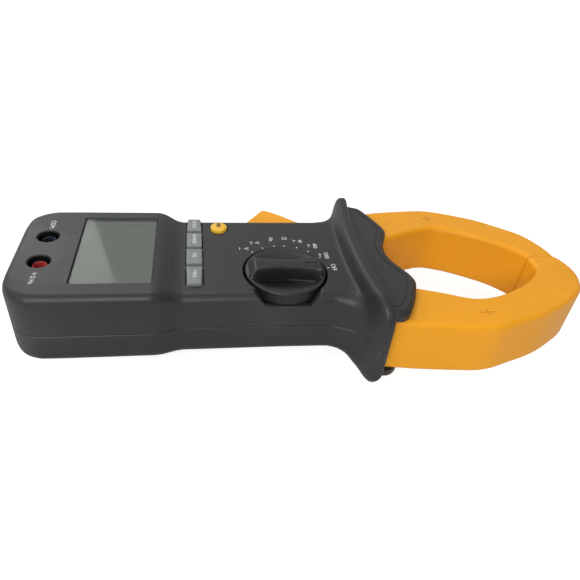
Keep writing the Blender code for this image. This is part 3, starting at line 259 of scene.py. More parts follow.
def metal(name, colour, rough):
    """Bare metal with fine lines, stains and brighter edges."""
    s = Shader(name)
    lines = s.noise(scale=900.0, detail=4.0, rough=0.7, vector=s.mapping(scale=(1, 1, 30)))
    stain = s.noise(scale=70.0, detail=5.0, rough=0.6)
    base = s.mix(s.remap(stain, over=(0.3, 0.75), to=(0.0, 0.55)), colour, scaled(colour, 0.55))
    base = s.mix(s.math("MULTIPLY", s.edges(over=(0.52, 0.6)), 0.5), base, scaled(colour, 1.3))
    return s.surface(base=base, metal=1.0, normal=s.bump(lines, strength=0.3, distance=0.00001),
                     rough=s.remap(lines, over=(0.3, 0.7), to=(rough - 0.08, rough + 0.12)))


def laminated(name):
    """Stacked steel sheets with some rust."""
    s = Shader(name)
    sheets = s.wave(scale=900.0, direction="Z", distortion=0.15)
    rust = s.noise(scale=120.0, detail=5.0, rough=0.7)
    base = s.mix(s.remap(sheets, over=(0.2, 0.6)), srgb(70, 70, 74), srgb(168, 168, 172))
    base = s.mix(s.remap(rust, over=(0.56, 0.72), to=(0.0, 0.5)), base, srgb(110, 74, 50))
    return s.surface(base=base, metal=0.85, rough=s.remap(rust, over=(0.3, 0.7), to=(0.3, 0.55)),
                     normal=s.bump(sheets, strength=0.6, distance=0.00006))


def winding(name):
    """Turns of lacquered copper wire, banded dark and bright; the dark bands are painted shade in the
    grooves between turns.
    """
    s = Shader(name)
    turns = s.wave(scale=620.0, direction="X", distortion=0.5,
                   vector=s.mapping(turn_z=math.radians(-14)))
    tone = s.noise(scale=240.0)
    base = s.mix(s.remap(turns, over=(0.1, 0.7)), srgb(92, 38, 16), srgb(205, 120, 62))
    base = s.mix(s.remap(tone, over=(0.5, 0.75), to=(0.0, 0.4)), base, srgb(235, 170, 110))
    return s.surface(base=base, metal=0.5, rough=0.34, coat=0.7, coat_rough=0.12,
                     normal=s.bump(turns, strength=0.9, distance=0.00018))


def circuit_board(name):
    """Green lacquer with raised tracks over a woven base."""
    s = Shader(name)
    cells = s.voronoi(scale=420.0, feature="DISTANCE_TO_EDGE")
    weave_x = s.wave(scale=1500.0, direction="X")
    weave_y = s.wave(scale=1500.0, direction="Y")
    base = s.mix(s.remap(cells, over=(0.02, 0.05), to=(1.0, 0.0)), srgb(20, 84, 44), srgb(52, 128, 70))
    raised = s.math("ADD", s.math("MULTIPLY", weave_y, 0.3),
                    s.remap(cells, over=(0.02, 0.05), to=(1.0, 0.0)))
    height = s.math("ADD", s.math("MULTIPLY", weave_x, 0.3), raised)
    return s.surface(base=base, rough=s.remap(weave_x, to=(0.32, 0.42)), coat=0.5, coat_rough=0.2,
                     normal=s.bump(height, strength=0.5, distance=0.00003))


def battery_sleeve(name):
    """Printed steel sleeve of a block battery, with a coloured band at its low-X end."""
    s = Shader(name)
    band = s.remap(s.axes()["X"], over=(-0.0790, -0.0788), to=(1.0, 0.0))
    scuff = s.noise(scale=260.0, detail=6.0, rough=0.7, vector=s.mapping(scale=(1, 8, 1)))
    base = s.mix(band, srgb(44, 44, 48), srgb(176, 132, 64))
    base = s.mix(s.remap(scuff, over=(0.60, 0.7), to=(0.0, 0.5)), base, srgb(150, 150, 152))
    return s.surface(base=base, metal=0.55, rough=s.remap(scuff, over=(0.3, 0.7), to=(0.24, 0.42)),
                     normal=s.bump(scuff, strength=0.2, distance=0.00002))


def clear_lens(name):
    """Clear acrylic: see-through, with a bright surface reflection and hairline scuffs."""
    s = Shader(name)
    hair = s.noise(scale=900.0, detail=4.0, rough=0.75,
                   vector=s.mapping(scale=(1, 14, 1), turn_z=0.6))
    dust = s.noise(scale=45.0, detail=4.0, rough=0.6)
    s.surface(base=srgb(136, 142, 135), rough=s.remap(hair, over=(0.45, 0.75), to=(0.05, 0.17)),
              spec=0.5, coat=0.4, coat_rough=0.03,
              normal=s.bump(hair, strength=0.08, distance=0.00001))
    clear = s.node("ShaderNodeBsdfTransparent", {"Color": (0.90, 0.92, 0.90, 1.0)})
    fresnel = s.node("ShaderNodeFresnel", {"IOR": 1.5})
    solid = s.math("ADD", s.math("MULTIPLY", fresnel.outputs[0], 0.7),
                   s.remap(dust, over=(0.3, 0.7), to=(0.08, 0.14)))
    mixed = s.node("ShaderNodeMixShader", {0: solid, 1: clear.outputs[0], 2: s.bsdf.outputs[0]})
    s.feed(s.tree.nodes["Material Output"].inputs["Surface"], mixed.outputs[0])
    return s.material


def display_grey(name):
    """Grey-green display with fine grain and a slow change of tone along Y."""
    s = Shader(name)
    fall = s.remap(s.axes()["Y"], over=(-0.025, 0.025))
    grain = s.noise(scale=3200.0, detail=2.0)
    base = s.mix(fall, srgb(126, 132, 125), srgb(112, 117, 112))
    base = s.mix(s.remap(grain, over=(0.35, 0.65), to=(0.0, 0.12)), base, srgb(122, 128, 118))
    return s.surface(base=base, rough=s.remap(grain, over=(0.3, 0.7), to=(0.30, 0.4)), coat=0.25,
                     coat_rough=0.15, spec=0.3,
                     normal=s.bump(grain, strength=0.1, distance=0.00001))


def rubber(name, colour, rough):
    """Matt rubber with a little pale dust."""
    s = Shader(name)
    fine = s.noise(scale=2600.0, detail=4.0, rough=0.7)
    dust = s.noise(scale=60.0, detail=5.0, rough=0.7)
    base = s.mix(s.remap(dust, over=(0.5, 0.75), to=(0.0, 0.35)), colour,
                 scaled(colour, 2.2, lift=0.02))
    return s.surface(base=base, normal=s.bump(fine, strength=0.6, distance=0.00002),
                     rough=s.remap(dust, over=(0.3, 0.7), to=(rough - 0.1, rough + 0.1)))


def ink(name, colour, rough):
    """Printed ink, a little uneven and rubbed."""
    s = Shader(name)
    rub = s.noise(scale=420.0, detail=6.0, rough=0.75)
    base = s.mix(s.remap(rub, over=(0.52, 0.75), to=(0.0, 0.45)), colour, scaled(colour, 0.55))
    return s.surface(base=base, normal=s.bump(rub, strength=0.2, distance=0.00001),
                     rough=s.remap(rub, over=(0.3, 0.7), to=(rough - 0.1, rough + 0.1)))


PLASTICS = {
    "case": dict(colour=srgb(34, 35, 34), rough=0.44, grain_mm=0.40, depth_mm=0.020, vary=0.07,
                 wear=0.22, spec=0.36, rubbed=srgb(92, 93, 92)),
    "dial": dict(colour=srgb(23, 25, 26), rough=0.36, grain_mm=0.34, depth_mm=0.012, vary=0.07,
                 wear=0.25, spec=0.38, rubbed=srgb(80, 82, 83), shade=painted_scoop_shade),
    "amber": dict(colour=(0.70, 0.285, 0.004, 1.0), rough=0.46, grain_mm=0.42, depth_mm=0.012,
                  vary=0.05, wear=0.15, sss=0.05, spec=0.30, rubbed=(0.80, 0.40, 0.04, 1.0)),
    "yellow": dict(colour=(0.66, 0.38, 0.03, 1.0), rough=0.40, grain_mm=0.35, vary=0.05, wear=0.2,
                   spec=0.35, rubbed=srgb(244, 214, 130)),
    "key": dict(colour=srgb(112, 115, 116), grain_mm=0.30, depth_mm=0.014, wear=0.30, spec=0.4),
    # near-black used only as painted shade: under the dial, on its pointer line and down the socket holes
    "painted_shade_black": dict(colour=srgb(9, 10, 11), grain_mm=0.30, vary=0.05, wear=0.0, spec=0.15),
    "socket_blue": dict(colour=srgb(22, 26, 36), rough=0.34, vary=0.08, wear=0.3,
                        rubbed=srgb(70, 82, 104)),
    "red": dict(colour=srgb(150, 26, 34), rough=0.30, depth_mm=0.008, vary=0.08, wear=0.3,
                rubbed=srgb(226, 130, 136)),
    "black": dict(colour=srgb(24, 24, 26), rough=0.36, vary=0.08, wear=0.3),
    "white": dict(colour=srgb(214, 213, 206), vary=0.05),
    # darker copies of amber and yellow, used as painted shade on the jaw crosses and in the mode key's
    # slot
    "amber_painted_shade": dict(colour=(0.42, 0.17, 0.004, 1.0), grain_mm=0.42, spec=0.3),
    "yellow_painted_shade": dict(colour=srgb(112, 80, 16), grain_mm=0.35)}
MATERIALS = {name: plastic(name, **values) for name, values in PLASTICS.items()}
MATERIALS |= {
    "glass": clear_lens("glass"),
    "lcd": display_grey("lcd"),
    "rubber": rubber("rubber", srgb(44, 44, 45), rough=0.75),
    "brass": metal("brass", srgb(206, 170, 98), rough=0.28),
    "steel": metal("steel", srgb(176, 178, 180), rough=0.30),
    "core": laminated("core"),
    "copper": winding("copper"),
    "board": circuit_board("board"),
    "battery": battery_sleeve("battery"),
    "ink_white": ink("ink_white", srgb(196, 198, 198), rough=0.55)}


# ---------------------------------------------------------------- objects
def to_metres(solid):
    bmesh.ops.translate(solid, verts=solid.verts, vec=-ORIGIN)
    bmesh.ops.scale(solid, verts=solid.verts, vec=(MM, MM, MM))
    return solid


def new_object(name, mesh):
    obj = bpy.data.objects.new(name, mesh)
    bpy.context.scene.collection.objects.link(obj)
    return obj


def make(name, solid, material=None):
    """Turn a bmesh in the drawing frame into an object in metres."""
    bmesh.ops.recalc_face_normals(solid, faces=solid.faces)
    to_metres(solid)
    mesh = bpy.data.meshes.new(name)
    solid.to_mesh(mesh)
    solid.free()
    obj = new_object(name, mesh)
    if material:
        mesh.materials.append(MATERIALS[material])
    return obj


def shade_smooth(mesh, angle):
    mesh.polygons.foreach_set("use_smooth", [True] * len(mesh.polygons))
    mesh.set_sharp_from_angle(angle=math.radians(angle))


def fit(obj, body, node=None, angle=32.0, weighted=True):
    """Shade a finished piece, hang it on its body and let it stand for a CAD node."""
    shade_smooth(obj.data, angle)
    if weighted:
        modifier = obj.modifiers.new("weighted", "WEIGHTED_NORMAL")
        modifier.keep_sharp = True
        modifier.weight = 60
    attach(obj, body)
    if node:
        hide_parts(node)


def boolean(target, solids, operation):
    for solid in solids:
        tool = make("tool", solid)
        modifier = target.modifiers.new("bool", "BOOLEAN")
        modifier.operation, modifier.object, modifier.solver = operation, tool, "EXACT"
        bpy.context.view_layer.update()
        graph = bpy.context.evaluated_depsgraph_get()
        mesh = bpy.data.meshes.new_from_object(target.evaluated_get(graph))
        target.modifiers.clear()
        materials = [m for m in target.data.materials if m]
        old = target.data
        target.data = mesh
        mesh.materials.clear()
        for material in materials:
            mesh.materials.append(material)
        bpy.data.meshes.remove(old)
        tool_mesh = tool.data
        bpy.data.objects.remove(tool, do_unlink=True)
        bpy.data.meshes.remove(tool_mesh)


def cut(target, *solids):
    boolean(target, solids, "DIFFERENCE")


def join(target, *solids):
    boolean(target, solids, "UNION")


# ---------------------------------------------------------------- outlines and curves
def arc(x, y, radius, start, end, steps):
    """Points from start to end, in degrees."""
    angles = [math.radians(start + (end - start) * i / steps) for i in range(steps + 1)]
    return [(x + radius * math.cos(a), y + radius * math.sin(a)) for a in angles]


def quarter(steps, first=0):
    """Angles of a quarter turn, in radians."""
    return [math.pi / 2 * i / steps for i in range(first, steps + 1)]


def circle(x, y, radius, steps=64):
    return [(x + radius * math.cos(2 * math.pi * i / steps),
             y + radius * math.sin(2 * math.pi * i / steps)) for i in range(steps)]


def rectangle(x_span, y_span):
    return [(x_span[0], y_span[0]), (x_span[1], y_span[0]),
            (x_span[1], y_span[1]), (x_span[0], y_span[1])]


def round_rect(x_span, y_span, radius, steps=8):
    left, right = x_span[0] + radius, x_span[1] - radius
    low, high = y_span[0] + radius, y_span[1] - radius
    return (arc(right, high, radius, 0, 90, steps) + arc(left, high, radius, 90, 180, steps)
            + arc(left, low, radius, 180, 270, steps) + arc(right, low, radius, 270, 360, steps))


def inset(outline, distance):
    """Move a counter-clockwise outline inwards, with mitred corners."""
    moved = []
    count = len(outline)
    for i in range(count):
        before, here, after = (Vector(outline[k]) for k in (i - 1, i, (i + 1) % count))
        come, leave = (here - before).normalized(), (after - here).normalized()
        miter = Vector((-come.y, come.x)) + Vector((-leave.y, leave.x))
        miter /= max(0.25, miter.length_squared / 2.0)
        moved.append((here.x + miter.x * distance, here.y + miter.y * distance))
    return moved


def smooth(low, high, x):
    t = max(0.0, min(1.0, (x - low) / (high - low)))
    return t * t * (3 - 2 * t)


def hermite(t, run, start, start_slope, end, end_slope):
    return (start * (2 * t ** 3 - 3 * t ** 2 + 1) + start_slope * run * (t ** 3 - 2 * t ** 2 + t)
            + end * (-2 * t ** 3 + 3 * t ** 2) + end_slope * run * (t ** 3 - t ** 2))


def along(stations, x):
    """Monotone cubic through (x, value) stations, held level past the ends."""
    if x <= stations[0][0]:
        return stations[0][1]
    if x >= stations[-1][0]:
        return stations[-1][1]
    pairs = list(zip(stations, stations[1:]))
    runs = [b[0] - a[0] for a, b in pairs]
    grades = [(b[1] - a[1]) / run for (a, b), run in zip(pairs, runs)]
    slopes = [0.0 if a * b <= 0 else 2 * a * b / (a + b) for a, b in zip(grades, grades[1:])]
    slopes = [grades[0]] + slopes + [grades[-1]]
    k = max(i for i in range(len(runs)) if stations[i][0] <= x)
    t = (x - stations[k][0]) / runs[k]
    return hermite(t, runs[k], stations[k][1], slopes[k], stations[k + 1][1], slopes[k + 1])


def spline(points, steps):
    """Smooth curve through the points (centripetal spacing), with `steps` steps a segment."""
    knots = [Vector(point) for point in points]
    last = len(knots) - 1
    runs = []
    times = [0.0]
    for a, b in zip(knots, knots[1:]):
        times.append(times[-1] + max(1e-6, (b - a).length ** 0.5))
    runs = [b - a for a, b in zip(times, times[1:])]
    grades = [(knots[i + 1] - knots[i]) / runs[i] for i in range(last)]
    slopes = [grades[0]]
    for i in range(1, last):
        weight = runs[i - 1] / (times[i + 1] - times[i - 1])
        slopes.append(grades[i - 1] * (1 - weight) + grades[i] * weight)
    slopes.append(grades[-1])
    curve = [tuple(hermite(k / steps, runs[i], knots[i], slopes[i], knots[i + 1], slopes[i + 1]))
             for i in range(last) for k in range(steps)]
    return curve + [tuple(knots[-1])]


# ---------------------------------------------------------------- solids (bmesh, drawing frame)
def bridge(solid, first, second, flip=False):
    """Quads between two closed rings of vertices."""
    for i in range(len(first)):
        j = (i + 1) % len(first)
        if flip:
            solid.faces.new((first[i], second[i], second[j], first[j]))
        else:
            solid.faces.new((first[i], first[j], second[j], second[i]))


def loft(rings):
    solid = bmesh.new()
    rows = [[solid.verts.new(point) for point in ring] for ring in rings]
    for first, second in zip(rows, rows[1:]):
        bridge(solid, first, second)
    solid.faces.new(rows[0])
    solid.faces.new(rows[-1])
    return solid


def at_height(outline, z):
    return [(x, y, z) for x, y in outline]


def prism(outline, low, high):
    return loft([at_height(outline, z) for z in (low, high)])


def box(x_span, y_span, z_span):
    return prism(rectangle(x_span, y_span), *z_span)


def stack(outline, levels):
    """Loft an outline through (z, inset) levels."""
    return loft([at_height(inset(outline, depth) if depth else outline, z) for z, depth in levels])


def pocket(outline, floor, face, lip=0.35):
    """Cutter for a recess with a small chamfered lip."""
    return stack(outline, [(floor, 0.0), (face - lip, 0.0), (face + 1.5, -(lip + 1.5))])


def ring_prism(outer, inner, low, high):
    solid = bmesh.new()
    rows = [[solid.verts.new(point) for point in at_height(outline, z)]
            for outline, z in ((outer, low), (outer, high), (inner, high), (inner, low))]
    for k in range(4):
        bridge(solid, rows[k], rows[(k + 1) % 4])
    return solid


def lathe(x, y, profile, steps):
    """Turn a (radius, z) profile; points at radius 0 close it."""
    solid = bmesh.new()
    rows = [[solid.verts.new(point) for point in at_height(circle(x, y, radius, steps), z)]
            if radius > 1e-6 else [solid.verts.new((x, y, z))] for radius, z in profile]
    for first, second in zip(rows, rows[1:]):
        if len(first) > 1 and len(second) > 1:
            bridge(solid, first, second)
            continue
        for i in range(steps):
            j = (i + 1) % steps
            if len(first) == 1:
                solid.faces.new((first[0], second[j], second[i]))
            else:
                solid.faces.new((first[i], first[j], second[0]))
    return solid


def tube(x, y, profile, steps=64):
    """Turn a closed (radius, z) profile that stays off the axis."""
    solid = bmesh.new()
    columns = []
    for i in range(steps):
        angle = 2 * math.pi * i / steps
        columns.append([solid.verts.new((x + radius * math.cos(angle), y + radius * math.sin(angle), z))
                        for radius, z in profile])
    for i in range(steps):
        bridge(solid, columns[i], columns[(i + 1) % steps], flip=True)
    return solid


# ---------------------------------------------------------------- case halves
# x stations of the outer skin, close together at the rounded end, the step and the guard
CASE_X = [0.0, 0.05, 0.2, 0.45, 0.8, 1.2, 1.7, 2.3, 3.1, 4.0, 5.0, 6.2, 7.6, 9.2, 11.0, 13.0,
          22.0, 36.0, 50.0, 59.0]
CASE_X += [60.0 + 0.8 * i for i in range(19)] + [82.0, 96.0, 110.0, 120.0, 130.0, 136.0]
CASE_X += [140.0 + 1.0 * i for i in range(10)] + [150.0 + 0.4 * i for i in range(30)]
CASE_X += [162.0 + 0.25 * i for i in range(7)]
CAVITY_X = (WALL, WALL + 0.6, WALL + 1.6, 5.6, 9.0, 13.5, 36.0, 61.0 - WALL, 64.0, 67.5, 71.0,
            74.0, 110.0, 140.0, 144.7, 148.2)
SLOT_X = (151.0, 153.0, 155.0, 157.0, 158.4, 159.6, 160.8, 162.2)
FLAT_SHARES = (0.862, 0.72, 0.58, 0.44, 0.30, 0.15)   # points across half the flat of the face
END_TOP_R, END_BOT_R = 4.0, 6.0                       # edge radii of the socket end, from the side
HEAD_HOLE_R, SCREW_HOLE_R = 2.95, 1.5


def section(x):
    """Half width, top, bottom, top edge radius and bottom edge radius of the case at x."""
    half_width, top, bottom = along(HALF_W, x), along(TOP_Z, x), along(BOT_Z, x)
    if x < END_R:
        half_width += math.sqrt(END_R ** 2 - (END_R - x) ** 2) - END_R
    if x < END_TOP_R:
        top -= END_TOP_R - math.sqrt(END_TOP_R ** 2 - (END_TOP_R - x) ** 2)
    if x < END_BOT_R:
        bottom += END_BOT_R - math.sqrt(END_BOT_R ** 2 - (END_BOT_R - x) ** 2)
    return half_width, top, bottom, along(TOP_R, x), along(BOT_R, x)


def guard_sweep(y):
    return GUARD_BOW * (1.0 - min(1.0, abs(y) / 50.0) ** 2)


def half_section(x, upper, depth, z_cut, steps, lip=0.0):
    """Cross-section of one case half, `depth` inside the skin; the upper skin bows at the guard."""
    half_width, top, bottom, top_round, bottom_round = section(x)
    half_width -= depth
    radius = max(0.6, (top_round if upper else bottom_round) - depth)
    edge = top - depth if upper else bottom + depth
    side = 1 if upper else -1
    fall = bow = 0.0
    if upper and not depth:
        fall = FACE_FALL * max(0.0, min(1.0, (72.0 - x) / 8.0))
        bow = smooth(146.5, 156.0, x)
    shoulder = edge - fall
    half = [(half_width - lip, z_cut), (half_width, z_cut + side * lip)] if lip else [(half_width, z_cut)]
    half += [(half_width - radius + radius * math.cos(a),
              shoulder - side * radius + side * radius * math.sin(a)) for a in quarter(steps)]
    half += [((half_width - radius) * share, edge) for share in FLAT_SHARES]
    points = half + [(-y, z) for y, z in reversed(half)]
    return [(x - bow * guard_sweep(y) * smooth(0.0, 12.0, z - z_cut), y, z) for y, z in points]


def case_half(upper):
    z_cut = PART_Z + (SEAM if upper else -SEAM)
    return loft([half_section(x, upper, 0.0, z_cut, steps=10, lip=0.28) for x in CASE_X])


def cavity_half(upper):
    z_cut = PART_Z + (-1.0 if upper else 1.0)
    return loft([half_section(x, upper, WALL, z_cut, steps=4) for x in CAVITY_X])


def jaw_slot(low, high, x_from=0.0):
    """Opening at the high-X end of the case for the jaw roots."""
    side = [(147.5, along(SLOT_W, 147.5) - WALL - 0.4)]
    side += [(x, along(SLOT_W, x - SLOT_LAG) - GUARD_WALL) for x in SLOT_X]
    side += [(163.0, 49.9), (166.0, 60.0), (190.0, 60.0)]
    side = [(x, y) for x, y in side if x > x_from]
    return prism([(x, -y) for x, y in side] + side[::-1], low, high)


def collar_side(points):
    return list(points[:1]) + spline(points[1:], 5)


collar_outline = [(x, -y) for x, y in collar_side(COLLAR_LOW_Y + COLLAR_HIGH_Y[-1:])[:-1]]
collar_outline += reversed(collar_side(COLLAR_HIGH_Y))


def distance_to_collar(point):
    gaps = []
    for start, end in zip(collar_outline, collar_outline[1:]):
        start, edge = Vector(start), Vector(end) - Vector(start)
        share = (point - start).dot(edge) / max(1e-9, edge.length_squared)
        gaps.append((start + edge * max(0.0, min(1.0, share)) - point).length)
    return min(gaps)


def collar_groove():
    """Fine groove a fixed distance inside the collar's edge, running out at low X."""
    line = []
    for point in inset(collar_outline, 4.8):
        spot = Vector(point)
        if (distance_to_collar(spot) > 4.7 and point[0] > 163.4
                and (not line or (Vector(line[-1]) - spot).length > 0.3)):
            line.append(point)
    line = [(150.0, line[0][1])] + line + [(150.0, line[-1][1])]
    return ring_prism(inset(line, -0.2), inset(line, 0.2), 43.6, 45.0)


def upper_collar():
    """Grooved collar over the jaw roots, given back as a solid in the drawing frame."""
    levels = [(SLOT_Z1, 0.35), (SLOT_Z1 + 0.35, 0.0), (41.5, 0.0), (41.85, 0.09), (42.15, 0.3),
              (43.6, 1.75), (43.85, 2.05), (COLLAR_TOP_Z, 2.5)]
    plate = make("plate", stack(collar_outline, levels), "case")
    cut(plate, collar_groove())
    solid = bmesh.new()
    solid.from_mesh(plate.data)
    bmesh.ops.scale(solid, verts=solid.verts, vec=(1000, 1000, 1000))
    bmesh.ops.translate(solid, verts=solid.verts, vec=ORIGIN)
    bpy.data.objects.remove(plate, do_unlink=True)
    return solid


def guard_trim():
    """Trims the upper guard's high-X edge to a bowed line."""
    rim = [(GUARD_FRONT_X - 0.12 - guard_sweep(y), y) for y in (-50.0 + 2.0 * k for k in range(51))]
    return prism([(180.0, -50.0), (180.0, 50.0)] + rim[::-1], SLOT_Z1 - 0.5, 60.0)


def dial_notch():
    """Flared notch where the dial breaks out through the -Y side wall."""
    floor, ease, flare, top = DIAL_HOLE_Z, 0.3, 5.6, 46.0
    low_x, high_x = 109.6, 130.4
    curve = [(flare * (k / 8.0) ** 1.25, floor + ease + flare * k / 8.0) for k in range(1, 9)]
    outline = [(low_x, floor + ease), (110.0, floor), (130.0, floor), (high_x, floor + ease)]
    outline += [(high_x + dx, z) for dx, z in curve] + [(138.0, top), (102.0, top)]
    outline += [(low_x - dx, z) for dx, z in reversed(curve)]
    return loft([[(x, y, z) for x, z in outline] for y in (-40.0, -27.0)])


def grown(span, gap):
    return (span[0] - gap, span[1] + gap)


def build_front():
    front = make("front_shell", case_half(True), "case")
    cut(front, cavity_half(True), jaw_slot(PART_Z - 1.0, SLOT_Z1), guard_trim())
    join(front, upper_collar())
    # display window and the opening under it
    window = round_rect(WINDOW_X, (-WINDOW_HALF, WINDOW_HALF), 1.1)
    cut(front, pocket(window, 45.0, HIGH_FACE_Z, lip=0.3),
        box((30.2, 58.4), (-24.0, 24.0), (38.0, 60.0)))
    for y in (JACK_Y, -JACK_Y):
        cut(front, pocket(circle(JACK_X, y, JACK_R, 72), 38.0, HIGH_FACE_Z))
    for y_span in KEY_Y:
        opening = round_rect(grown(KEY_X, 0.25), grown(y_span, 0.25), 1.0, 5)
        cut(front, pocket(opening, 38.0, LOW_FACE_Z, lip=0.25))
    cut(front, pocket(circle(MODE_X, MODE_Y, MODE_R + 0.25, 48), 38.0, LOW_FACE_Z, lip=0.3),
        pocket(circle(*DIAL, DIAL_HOLE_R, 144), DIAL_HOLE_Z, LOW_FACE_Z, lip=0.3),
        dial_notch(),
        box(LEVER_WINDOW_X, LEVER_WINDOW_Y, (PART_Z - 2.0, LEVER_Z1 + 0.5)))
    fit(front, "meter_body", "front_case", angle=30)


def build_rear():
    rear = make("rear_shell", case_half(False), "case")
    cut(rear, cavity_half(False), jaw_slot(REAR_FLOOR_Z, PART_Z + 1.0),
        jaw_slot(SLOT_Z0, REAR_FLOOR_Z + 1.0, SLOT_STEP_X))
    join(rear, stack(collar_outline, [(COLLAR_BOT_Z, 2.5), (3.75, 2.05), (4.0, 1.7), (5.4, 0.3),
                                      (5.7, 0.08), (6.1, 0.0), (SLOT_Z0, 0.0)]))
    # seat of the battery door, its opening, and the three walls of the battery bay
    join(rear, prism(round_rect((18.0, 79.0), (-19.8, 19.8), 2.0, 3), 11.2, 14.4))
    cut(rear, stack(round_rect(DOOR_X, (-DOOR_HALF, DOOR_HALF), 1.5, 6),
                    [(9.0, -1.8), (10.8, 0.0), (12.1, 0.0)]))
    cut(rear, box((23.2, 74.4), (-13.9, 13.9), (5.0, 20.0)))
    bay_z = (13.6, 30.6)
    join(rear, box((22.0, 77.4), (14.1, 15.6), bay_z), box((22.0, 77.4), (-15.6, -14.1), bay_z),
         box((20.6, 22.2), (-15.6, 15.6), bay_z))
    cut(rear, box(LEVER_WINDOW_X, LEVER_WINDOW_Y, (LEVER_Z0 - 0.5, PART_Z + 2.0)))
    # screw posts and countersunk screw holes
    for x, y in CASE_SCREWS:
        join(rear, prism(circle(x, y, 3.3, 20), 11.2, PART_Z - SEAM))
        cut(rear, prism(circle(x, y, SCREW_HOLE_R, 16), 5.0, PART_Z + 2.0),
            stack(circle(x, y, HEAD_HOLE_R, 40), [(8.0, -2.85), (10.85, 0.0), (13.4, 0.0)]))
    for x, y in JAW_SCREWS:
        cut(rear, prism(circle(x, y, SCREW_HOLE_R, 16), 0.0, 12.0),
            stack(circle(x, y, HEAD_HOLE_R, 40), [(1.0, -2.9), (3.9, 0.0), (6.4, 0.0)]))
    cut(rear, prism(circle(*PIVOT, PIVOT_HOLE_R, 40), 5.6, SLOT_Z0 + 1.0),
        prism(circle(*DOOR_SCREW, 1.35, 16), 5.0, 16.0))
    # shallow label recess and a row of grooves on the back of the handle
    cut(rear, stack(round_rect((84.0, 132.0), (-22.0, 16.0), 2.0, 6),
                    [(9.0, -1.75), (10.65, -0.1), (10.9, 0.0)]))
    for k in range(6):
        x = 136.4 + 2.1 * k
        cut(rear, stack(round_rect((x - 0.5, x + 0.5), (-18.0, 18.0), 0.5, 4),
                        [(9.0, -1.6), (10.55, -0.05), (11.1, 0.15)]))
    fit(rear, "meter_body", "rear_case", angle=30)


build_front()
build_rear()


# ---------------------------------------------------------------- display
def in_window(wide, narrow, radius):
    """Outline in the window: `wide` gaps at low X and high Y, `narrow` ones at high X and low Y."""
    return round_rect((WINDOW_X[0] + wide, WINDOW_X[1] - narrow),
                      (-WINDOW_HALF + narrow, WINDOW_HALF - wide), radius)


def build_display():
    lens = stack(in_window(0.4, 0.25, 0.9),
                 [(45.08, 0.0), (46.15, 0.0), (46.27, 0.04), (46.34, 0.13), (46.36, 0.3)])
    fit(make("lens", lens, "glass"), "meter_body", "lens_window", angle=40)
    # black ring seen through the lens just inside its edge: painted shade of the gap round the lens
    edge_shade = ring_prism(in_window(0.45, 0.3, 0.8), in_window(0.95, 0.8, 0.5), 45.01, 45.06)
    fit(make("lens_edge_painted_shade", edge_shade, "black"), "meter_body")
    backing = ring_prism(in_window(0.97, 0.82, 0.5), round_rect((30.3, 58.3), (-23.9, 23.9), 0.3),
                         45.01, 45.05)
    fit(make("lens_backing", backing, "lcd"), "meter_body")
    screen = stack(round_rect((30.0, 58.6), (-24.6, 24.6), 0.4, 4),
                   [(41.4, 0.15), (41.55, 0.0), (43.8, 0.0), (44.0, 0.2)])
    fit(make("lcd_glass", screen, "lcd"), "meter_body", "lcd_panel")


build_display()

# ---------------------------------------------------------------- keys
# how far each side of a key draws in at its low-Y and high-Y end: the end keys narrow outwards
KEY_PULL = ((0.55, 0.0), (0.0, 0.0), (0.0, 0.0), (0.0, 0.55))
KEY_CORNER_R, KEY_EDGE_R = 0.7, 0.6
KEY_CROWN = ((0.85, 0.055), (0.6, 0.11), (0.3, 0.145))   # (share of the size, rise)
KEY_FOOT_Z, KEY_FLANGE_Z, KEY_FLANGE = 37.0, 39.0, 0.7


def keycap(y_span, pulls):
    width, length = KEY_X[1] - KEY_X[0], y_span[1] - y_span[0]
    mid_x, mid_y = sum(KEY_X) / 2, sum(y_span) / 2
    base = round_rect(KEY_X, y_span, KEY_CORNER_R, 6)

    def taper(points):
        out = []
        for x, y in points:
            share = (y - y_span[0]) / length
            pull = pulls[0] * (1 - share) + pulls[1] * share
            out.append((mid_x + (x - mid_x) * (1 - pull / width * 2), y))
        return out

    flange = round_rect(grown(KEY_X, KEY_FLANGE), y_span, KEY_CORNER_R, 6)
    rings = [at_height(flange, z) for z in (KEY_FOOT_Z, KEY_FLANGE_Z)]
    rings += [at_height(base, z) for z in (KEY_FLANGE_Z + 0.01, 42.0)]
    rings += [at_height(taper(inset(base, KEY_EDGE_R - KEY_EDGE_R * math.cos(a))),
                        KEY_TOP_Z - 0.75 + KEY_EDGE_R * math.sin(a)) for a in quarter(6)]
    crown = taper(inset(base, KEY_EDGE_R))
    for share, rise in KEY_CROWN:
        rings.append([(mid_x + (x - mid_x) * share, mid_y + (y - mid_y) * share,
                       KEY_TOP_Z - 0.15 + rise) for x, y in crown])
    return loft(rings)


